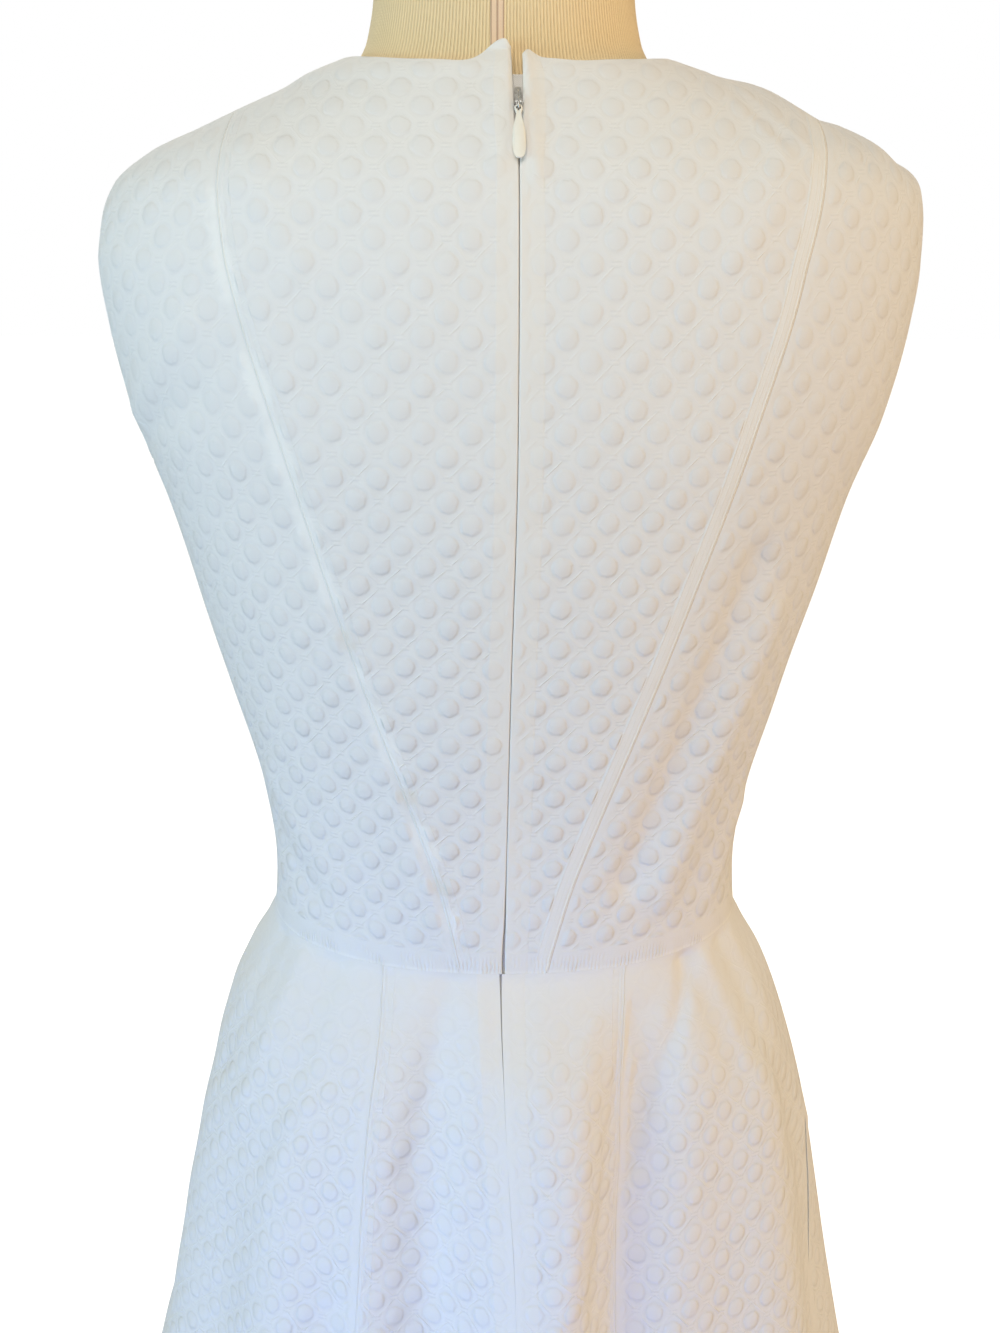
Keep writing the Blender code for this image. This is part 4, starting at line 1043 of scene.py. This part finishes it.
def form_rings():
    rings = []
    hips = [smooth_curve(FORM_HIPS, column) for column in (1, 2, 3)]
    for height in np.linspace(FORM_HIPS[0][0], FORM_HIPS[-1][0], FORM_END_ROWS):
        rings.append(oval_ring(height, *(measure(height) for measure in hips)))
    turns = np.linspace(0, 2 * np.pi, FORM_COLUMNS, endpoint=False)
    for height in np.linspace(0.0, FORM_BODY_TOP, FORM_BODY_ROWS):
        seat = np.cos(turns) ** SEAT_POWER * math.exp(-(((height - SHOULDER_SEAT[0]) / SHOULDER_SEAT[1]) ** 2))
        ease = FORM_EASE + (SHOULDER_EASE - FORM_EASE) * seat
        lower = np.clip((height - FRONT_NECK_FROM) / FRONT_NECK_FADE, 0, 1)
        lower = lower * np.clip(-np.sin(turns) / FRONT_SIDE, 0, 1)
        heights = np.full_like(turns, height)
        inwards = (ease + FRONT_NECK_EASE * lower)[:, None]
        ring = worn_body(turns, heights) - facing(turns, np.maximum(heights, 0.001)) * inwards
        ring[:, 0] = np.clip(ring[:, 0], -ARM_PLATE, ARM_PLATE)
        ring[:, 2] += WAIST
        rings.append(ring)
    neck = [smooth_curve(FORM_NECK, column) for column in (1, 2, 3)]
    for height in np.linspace(FORM_NECK[0][0], NECK_TOP, FORM_END_ROWS):
        rings.append(oval_ring(height, *(measure(height) for measure in neck), shift=NECK_SHIFT))
    return rings


def beige_jersey():
    jersey = Finish("beige_jersey")
    place = jersey.node("TexCoord", None, None, 3)
    parts = jersey.node("SeparateXYZ", None, {"Vector": place})
    x = parts
    y = Wire(jersey, parts.output.node.outputs[1])
    z = Wire(jersey, parts.output.node.outputs[2])
    turn = jersey.node("Math", {"operation": "ARCTAN2"}, {0: y, 1: x - NECK_SHIFT})
    drift = jersey.noise(place, 60.0, 2.0) - 0.5
    ribs = (turn * RIBS_ROUND_NECK + drift * 1.6).sine()
    groove = ribs.fade(-0.2, -0.95)
    purl = (z * 5200 + ribs * 1.5).sine()
    tape_away = abs(x - TAPE_PLACE) * 1000
    behind = y.fade(0.0, 0.01)
    on_tape = tape_away.fade(TAPE_WIDTH * 500 + 0.15, TAPE_WIDTH * 500 - 0.15) * behind
    lines = (1 - tape_away.fade(0.25, 0.6) * (1 - tape_away.fade(TAPE_WIDTH * 500 - 0.7, TAPE_WIDTH * 500 - 0.4)))
    line = lines * on_tape
    tone = jersey.noise(place, 14.0, 4.0)
    light, deep = (0.95, 0.76, 0.47, 1), (0.86, 0.65, 0.37, 1)
    # Painted shade: the ribs' grooves are painted darker, on top of a tone that varies at random.
    colour = jersey.mix(tone.fade(0.3, 0.7) * 0.5 + groove * 0.45, light, deep)
    colour = jersey.mix(on_tape, colour, (0.86, 0.64, 0.45, 1))
    colour = jersey.mix(line * 0.7, colour, (0.42, 0.25, 0.17, 1))
    height = (1 - groove) * 0.35 * (1 - on_tape) + on_tape * 0.5 + purl * 0.025 + tone * 0.1
    jersey.shader.inputs["Sheen Weight"].default_value = 0.2
    jersey.shader.inputs["Specular IOR Level"].default_value = 0.2
    return jersey.shade(base_color=colour, roughness=0.85, normal=jersey.bump(height, 0.001))


torso = closed_skin("padded_form", form_rings(), beige_jersey())
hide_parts("form_torso")
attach(torso, BODY)


def turned_wood():
    wood = Finish("turned_wood")
    place = wood.node("TexCoord", None, None, 3)
    stretched = wood.node("Mapping", None, {"Vector": place, "Scale": (1.0, 9.0, 9.0)})
    rings = wood.noise(stretched, 26.0, 6.0)
    fine = wood.noise(stretched, 190.0, 3.0)
    colour = wood.mix(rings.fade(0.35, 0.68), (0.30, 0.165, 0.075, 1), (0.46, 0.28, 0.14, 1))
    colour = wood.mix(fine.fade(0.6, 0.75) * 0.5, colour, (0.17, 0.09, 0.04, 1))
    wood.shader.inputs["Coat Weight"].default_value = 0.25
    wood.shader.inputs["Coat Roughness"].default_value = 0.2
    return wood.shade(base_color=colour, roughness=0.38 + fine * 0.15, normal=wood.bump(fine, 0.0001))


CAP_PROFILE = (  # growth of the outline, lift above the neck
    (-0.0032, 0.0), (-0.0012, 0.0003), (-0.0002, 0.0014), (0.0, 0.0030), (0.0, 0.0078), (-0.0010, 0.0098),
    (-0.0030, 0.0112), (-0.0062, 0.0124), (-0.0120, 0.0140), (-0.0220, 0.0153), (-0.0340, 0.0158), (-0.0440, 0.0160),
)
cap_bottom = NECK_TOP + SEAM_GAP
_, cap_across, cap_behind, cap_before = FORM_NECK[-1]
cap_rings = [
    oval_ring(cap_bottom + lift, cap_across + grow, cap_behind + grow, cap_before + grow, NECK_SHIFT)
    for grow, lift in CAP_PROFILE
]
cap = closed_skin("neck_cap", cap_rings, turned_wood())
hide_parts("form_neck_cap")
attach(cap, BODY)

# ---------------------------------------------------------------------------------------------------
# Stand: a round iron base painted black, a brushed steel pole and an iron flange under the form.
COLLAR_TOP = 0.045
BASE_PROFILE = (
    (0.0, 0.0), (0.168, 0.0), (0.1735, 0.0008), (0.175, 0.0030), (0.175, 0.0088), (0.1738, 0.0112), (0.171, 0.0132),
    (0.166, 0.0142), (0.120, 0.0165), (0.080, 0.0190), (0.058, 0.0212), (0.042, 0.0240), (0.034, 0.0280),
    (0.0290, 0.0330), (0.0268, 0.0390), (0.0262, 0.0436), (0.0252, COLLAR_TOP), (0.0, COLLAR_TOP),
)
POLE_RADIUS = 0.0125
FLANGE_BOTTOM = WAIST + FORM_HIPS[0][0] - SEAM_GAP - 0.008
FLANGE_PROFILE = (
    (0.0, 0.0), (0.0215, 0.0), (0.0222, 0.0004), (0.0540, 0.0026), (0.0550, 0.0034), (0.0550, 0.0076),
    (0.0546, 0.0080), (0.0, 0.0080),
)


def lathed(name, profile, lift, finish, segments=128):
    """A turned piece: its profile, from the bottom up, spun round the Z axis."""
    piece = new_grid(name, segments, len(profile) - 1)
    for vert in piece.data.vertices:
        radius, height = profile[round((vert.co.y + 0.5) * (len(profile) - 1))]
        angle = (vert.co.x + 0.5) * 2 * math.pi
        vert.co = (radius * math.cos(angle), radius * math.sin(angle), height + lift)
    bpy.ops.object.mode_set(mode="EDIT")
    bpy.ops.mesh.select_all(action="SELECT")
    bpy.ops.mesh.remove_doubles(threshold=0.00001)
    bpy.ops.mesh.normals_make_consistent(inside=False)
    bpy.ops.object.mode_set(mode="OBJECT")
    bpy.ops.object.shade_smooth_by_angle(angle=math.radians(35))
    piece.data.materials.append(finish)
    return piece


def black_iron():
    iron = Finish("black_iron")
    place = iron.node("TexCoord", None, None, 3)
    grit = iron.noise(place, 900.0, 3.0)
    worn = iron.noise(place, 35.0, 5.0)
    colour = iron.mix(worn.fade(0.45, 0.7), (0.018, 0.018, 0.019, 1), (0.035, 0.034, 0.033, 1))
    rough = 0.42 + worn * 0.2
    return iron.shade(base_color=colour, roughness=rough, normal=iron.bump(grit + worn * 2, 0.00015), metallic=0.0)


def brushed_steel():
    steel = Finish("brushed_steel")
    place = steel.node("TexCoord", None, None, 3)
    lines = steel.noise(steel.node("Mapping", None, {"Vector": place, "Scale": (30.0, 30.0, 1.0)}), 60.0, 4.0)
    rough = 0.24 + lines * 0.16
    scratches = steel.bump(lines, 0.00003)
    return steel.shade(base_color=(0.62, 0.62, 0.63, 1), metallic=1.0, roughness=rough, normal=scratches)


iron = black_iron()
steel = brushed_steel()
pole_bottom, pole_top = COLLAR_TOP + SEAM_GAP, FLANGE_BOTTOM - SEAM_GAP
POLE_PROFILE = (
    (0.0, 0.0), (POLE_RADIUS - 0.0006, 0.0), (POLE_RADIUS, 0.0006), (POLE_RADIUS, pole_top - pole_bottom - 0.0006),
    (POLE_RADIUS - 0.0006, pole_top - pole_bottom), (0.0, pole_top - pole_bottom),
)
for name, profile, lift, finish, node, slot in (
    ("iron_base", BASE_PROFILE, 0.0, iron, "stand_base", "black_iron"),
    ("steel_pole", POLE_PROFILE, pole_bottom, steel, "stand_pole", "pole_steel"),
    ("iron_flange", FLANGE_PROFILE, FLANGE_BOTTOM, iron, "stand_flange", "black_iron"),
):
    piece = lathed(name, profile, lift, finish)
    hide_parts(node)
    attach(piece, BODY)

# ---------------------------------------------------------------------------------------------------
# Zip: a concealed one down the centre back. Its tape and closed coil are behind the seam, and its slider,
# wire link and cream teardrop pull stand in the open top of it.
PIN_HEIGHT = 0.3914
PIN_STAND_OFF = 0.0023
PIN_RADIUS, PIN_HALF_LENGTH = 0.00045, 0.0011
SLOPE_LENGTH = 0.016  # the slider leans with the cloth's slope over this much below the pin
SLIDER_LOW, SLIDER_HIGH = -0.0025, 0.0091  # from the pin
SLIDER_HALF_WIDTH, SLIDER_THICKNESS, SLIDER_BEVEL = 0.00135, 0.0013, 0.00045
SLIDER_FACE = 0.0003  # cloth's outer face to the slider's
BRIDGE_RISE, BRIDGE_MIDDLE, BRIDGE_HALF_LENGTH, BRIDGE_WIRE = 0.0021, 0.0022, 0.0046, 0.00042
EAR_LOW, EAR_HIGH = (0.0008, -0.0005, -0.0009), (0.00125, 0.00065, 0.0011)  # across, out, up
pin_place = worn_body(math.pi / 2, PIN_HEIGHT)
pin_below = worn_body(math.pi / 2, PIN_HEIGHT - SLOPE_LENGTH)
zip_up = Vector(pin_place - pin_below).normalized()
zip_out = zip_up.cross(Vector((1, 0, 0))).normalized()
pin_middle = Vector(pin_place) + zip_out * PIN_STAND_OFF + Vector((0, 0, WAIST))
zip_turn = Matrix.Translation(pin_middle) @ Matrix((Vector((1, 0, 0)), zip_out, zip_up)).transposed().to_4x4()


def plated_silver():
    silver = Finish("plated_silver")
    place = silver.node("TexCoord", None, None, 3)
    marks = silver.noise(place, 2600.0, 3.0)
    rough = 0.20 + marks * 0.18
    return silver.shade(base_color=(0.72, 0.73, 0.74, 1), metallic=1.0, roughness=rough)


def cream_enamel():
    enamel = Finish("cream_enamel")
    place = enamel.node("TexCoord", None, None, 3)
    tone = enamel.noise(place, 420.0, 3.0)
    colour = enamel.mix(tone, (0.86, 0.83, 0.75, 1), (0.90, 0.88, 0.82, 1))
    enamel.shader.inputs["Coat Weight"].default_value = 0.6
    enamel.shader.inputs["Coat Roughness"].default_value = 0.1
    return enamel.shade(base_color=colour, roughness=0.28 + tone * 0.08)


silver = plated_silver()


def set_in_zip(piece, finish, smooth_angle=40):
    """Turns a piece modelled at the slider's pin into its place on the zip."""
    piece.data.transform(zip_turn)
    bpy.ops.object.select_all(action="DESELECT")
    piece.select_set(True)
    bpy.context.view_layer.objects.active = piece
    bpy.ops.object.shade_smooth_by_angle(angle=math.radians(smooth_angle))
    piece.data.materials.append(finish)


def rounded_block(low, high, bevel, segments=3):
    bpy.ops.object.select_all(action="DESELECT")
    bpy.ops.mesh.primitive_cube_add(size=1)
    block = bpy.context.object
    for vert in block.data.vertices:
        vert.co = [low[i] + (vert.co[i] + 0.5) * (high[i] - low[i]) for i in range(3)]
    soft = block.modifiers.new("soft", "BEVEL")
    soft.width = bevel
    soft.segments = segments
    bpy.ops.object.modifier_apply(modifier="soft")
    return block


def bent_wire(points, radius, name, closed=False):
    """A wire of round section along points."""
    points = [Vector(p) for p in points]
    curve = bpy.data.curves.new(name, "CURVE")
    curve.dimensions = "3D"
    spline = curve.splines.new("POLY")
    spline.points.add(len(points) - 1)
    for spot, place in zip(spline.points, points):
        spot.co = (*place, 1)
    spline.use_cyclic_u = closed
    curve.bevel_depth = radius
    curve.bevel_resolution = 3
    curve.use_fill_caps = True
    wire = bpy.data.objects.new(name, curve)
    bpy.context.scene.collection.objects.link(wire)
    bpy.ops.object.select_all(action="DESELECT")
    wire.select_set(True)
    bpy.context.view_layer.objects.active = wire
    bpy.ops.object.convert(target="MESH")
    return bpy.context.object


def joined(name, pieces):
    bpy.ops.object.select_all(action="DESELECT")
    for piece in pieces:
        piece.select_set(True)
    bpy.context.view_layer.objects.active = pieces[0]
    bpy.ops.object.join()
    whole = bpy.context.object
    whole.name = whole.data.name = name
    return whole


slider_face = -PIN_STAND_OFF - SLIDER_FACE
slider_low = (-SLIDER_HALF_WIDTH, slider_face - SLIDER_THICKNESS, SLIDER_LOW)
slider_body = rounded_block(slider_low, (SLIDER_HALF_WIDTH, slider_face, SLIDER_HIGH), SLIDER_BEVEL)
bridge_points = []
for step in range(25):
    angle = math.pi * step / 24
    out = slider_face - 0.0002 + BRIDGE_RISE * math.sin(angle) ** 0.6
    bridge_points.append((0.0, out, BRIDGE_MIDDLE + BRIDGE_HALF_LENGTH * math.cos(angle)))
bridge = bent_wire(bridge_points, BRIDGE_WIRE, "bridge")
slider_parts = [slider_body, bridge]
for side in (-1, 1):
    inner, outer = sorted((side * EAR_LOW[0], side * EAR_HIGH[0]))
    ear_low = (inner, slider_face + EAR_LOW[1], EAR_LOW[2])
    slider_parts.append(rounded_block(ear_low, (outer, *EAR_HIGH[1:]), 0.00015, 2))
pin = bent_wire([(-PIN_HALF_LENGTH, 0, 0), (PIN_HALF_LENGTH, 0, 0)], PIN_RADIUS, "pin")
slider = joined("slider", slider_parts + [pin])
set_in_zip(slider, silver)
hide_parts("zip_slider")
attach(slider, BODY)

LINK_RADIUS, LINK_WIRE, LINK_LENGTH = 0.0014, 0.0004, 0.0021
link_points = []
for step in range(48):
    angle = 2 * math.pi * step / 48
    out, up = math.cos(angle) * LINK_RADIUS, math.sin(angle) * LINK_RADIUS
    link_points.append((0, out, up - (LINK_LENGTH if up < 0 else 0)))
link = bent_wire(link_points, LINK_WIRE, "wire_link", closed=True)
set_in_zip(link, silver)
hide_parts("zip_link")
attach(link, "zip_tab")

PULL_OUTLINE = [  # distance below the eye's middle, half width
    (-0.00185, 0.0), (-0.00175, 0.0007), (-0.0013, 0.0013), (-0.0004, 0.0017), (0.0005, 0.00166), (0.0014, 0.0013),
    (0.0026, 0.00108), (0.0040, 0.00120), (0.0065, 0.0018), (0.0095, 0.0024), (0.0125, 0.00265), (0.0165, 0.0027),
    (0.0195, 0.0025), (0.0215, 0.0020), (0.0226, 0.0012), (0.0229, 0.0),
]
PULL_PROFILE = (  # share of the way from eye to outline, share of the half thickness
    (0.0, -0.6), (0.12, -1.0), (0.72, -1.0), (1.0, -0.45), (1.0, 0.45), (0.72, 1.0), (0.12, 1.0), (0.0, 0.6),
)
EYE_RADIUS = 0.0010
PULL_HALF_THICKNESS, PULL_ROUND = 0.0008, 0.55  # its faces are rounded from side to side
PULL_HALF_WIDTH = 0.0027


def teardrop_pull():
    """The tab as a ring of faces from its round eye to its outline, doubled for its two sides and softened."""
    eye = -LINK_LENGTH - LINK_RADIUS
    right_side = [(half, eye - down) for down, half in PULL_OUTLINE]
    outline = right_side + [(-x, z) for x, z in right_side[-2:0:-1]]
    count = len(outline)
    tab = new_grid("pull", count, len(PULL_PROFILE) - 1)
    for vert in tab.data.vertices:
        column = round((vert.co.x + 0.5) * count) % count
        share, depth = PULL_PROFILE[round((vert.co.y + 0.5) * (len(PULL_PROFILE) - 1))]
        x, z = outline[column]
        angle = math.atan2(x, z - eye)
        if abs(x) < 1e-9:
            angle = 0.0 if z > eye else math.pi
        near = Vector((math.sin(angle) * EYE_RADIUS, 0, eye + math.cos(angle) * EYE_RADIUS))
        far = Vector((x, 0, z))
        spot = near.lerp(far, share)
        depth *= 1 - PULL_ROUND * (spot.x / PULL_HALF_WIDTH) ** 2
        vert.co = spot + Vector((0, depth * PULL_HALF_THICKNESS, 0))
    bpy.ops.object.mode_set(mode="EDIT")
    bpy.ops.mesh.select_all(action="SELECT")
    bpy.ops.mesh.remove_doubles(threshold=0.000001)
    bpy.ops.object.mode_set(mode="OBJECT")
    return tab


pull = teardrop_pull()
set_in_zip(pull, cream_enamel(), 60)
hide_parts("zip_pull")
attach(pull, "zip_tab")

TAPE_HALF_WIDTH, TAPE_DEPTH, TAPE_THICKNESS = 0.007, 0.0022, 0.0008
ZIP_LOW, ZIP_TOP = -0.170, 0.405
TAPE_ROWS, TAPE_COLUMNS = 240, 14

tape = new_grid("tape", TAPE_COLUMNS, TAPE_ROWS)
for vert in tape.data.vertices:
    height = ZIP_LOW + (vert.co.y + 0.5) * (ZIP_TOP - ZIP_LOW)
    offset = float(wander(height)) - 2 * vert.co.x * TAPE_HALF_WIDTH
    ratio = offset / float(half_width(height))
    azimuth = math.acos(math.copysign(abs(ratio) ** (float(squareness(height)) / 2), ratio))
    point = worn_body(azimuth, height) - facing(azimuth, height) * TAPE_DEPTH
    vert.co = Vector(point) + Vector((0, 0, WAIST))
thick = tape.modifiers.new("thick", "SOLIDIFY")
thick.thickness = TAPE_THICKNESS
thick.offset = -1
bpy.ops.object.modifier_apply(modifier="thick")
bpy.ops.object.shade_smooth_by_angle(angle=math.radians(40))


def woven_tape():
    woven = Finish("woven_tape")
    place = woven.node("TexCoord", None, None, 3)
    parts = woven.node("SeparateXYZ", None, {"Vector": place})
    lengthwise = Wire(woven, parts.output.node.outputs[2]) * 7800
    weave = (parts * 9000).sine() * lengthwise.sine()
    colour = woven.mix(weave.fade(-1.0, 1.0), (0.66, 0.64, 0.62, 1), (0.82, 0.81, 0.80, 1))
    return woven.shade(base_color=colour, roughness=0.8, normal=woven.bump(weave, 0.00004))


tape.data.materials.append(woven_tape())
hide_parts("zip_tape")
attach(tape, BODY)
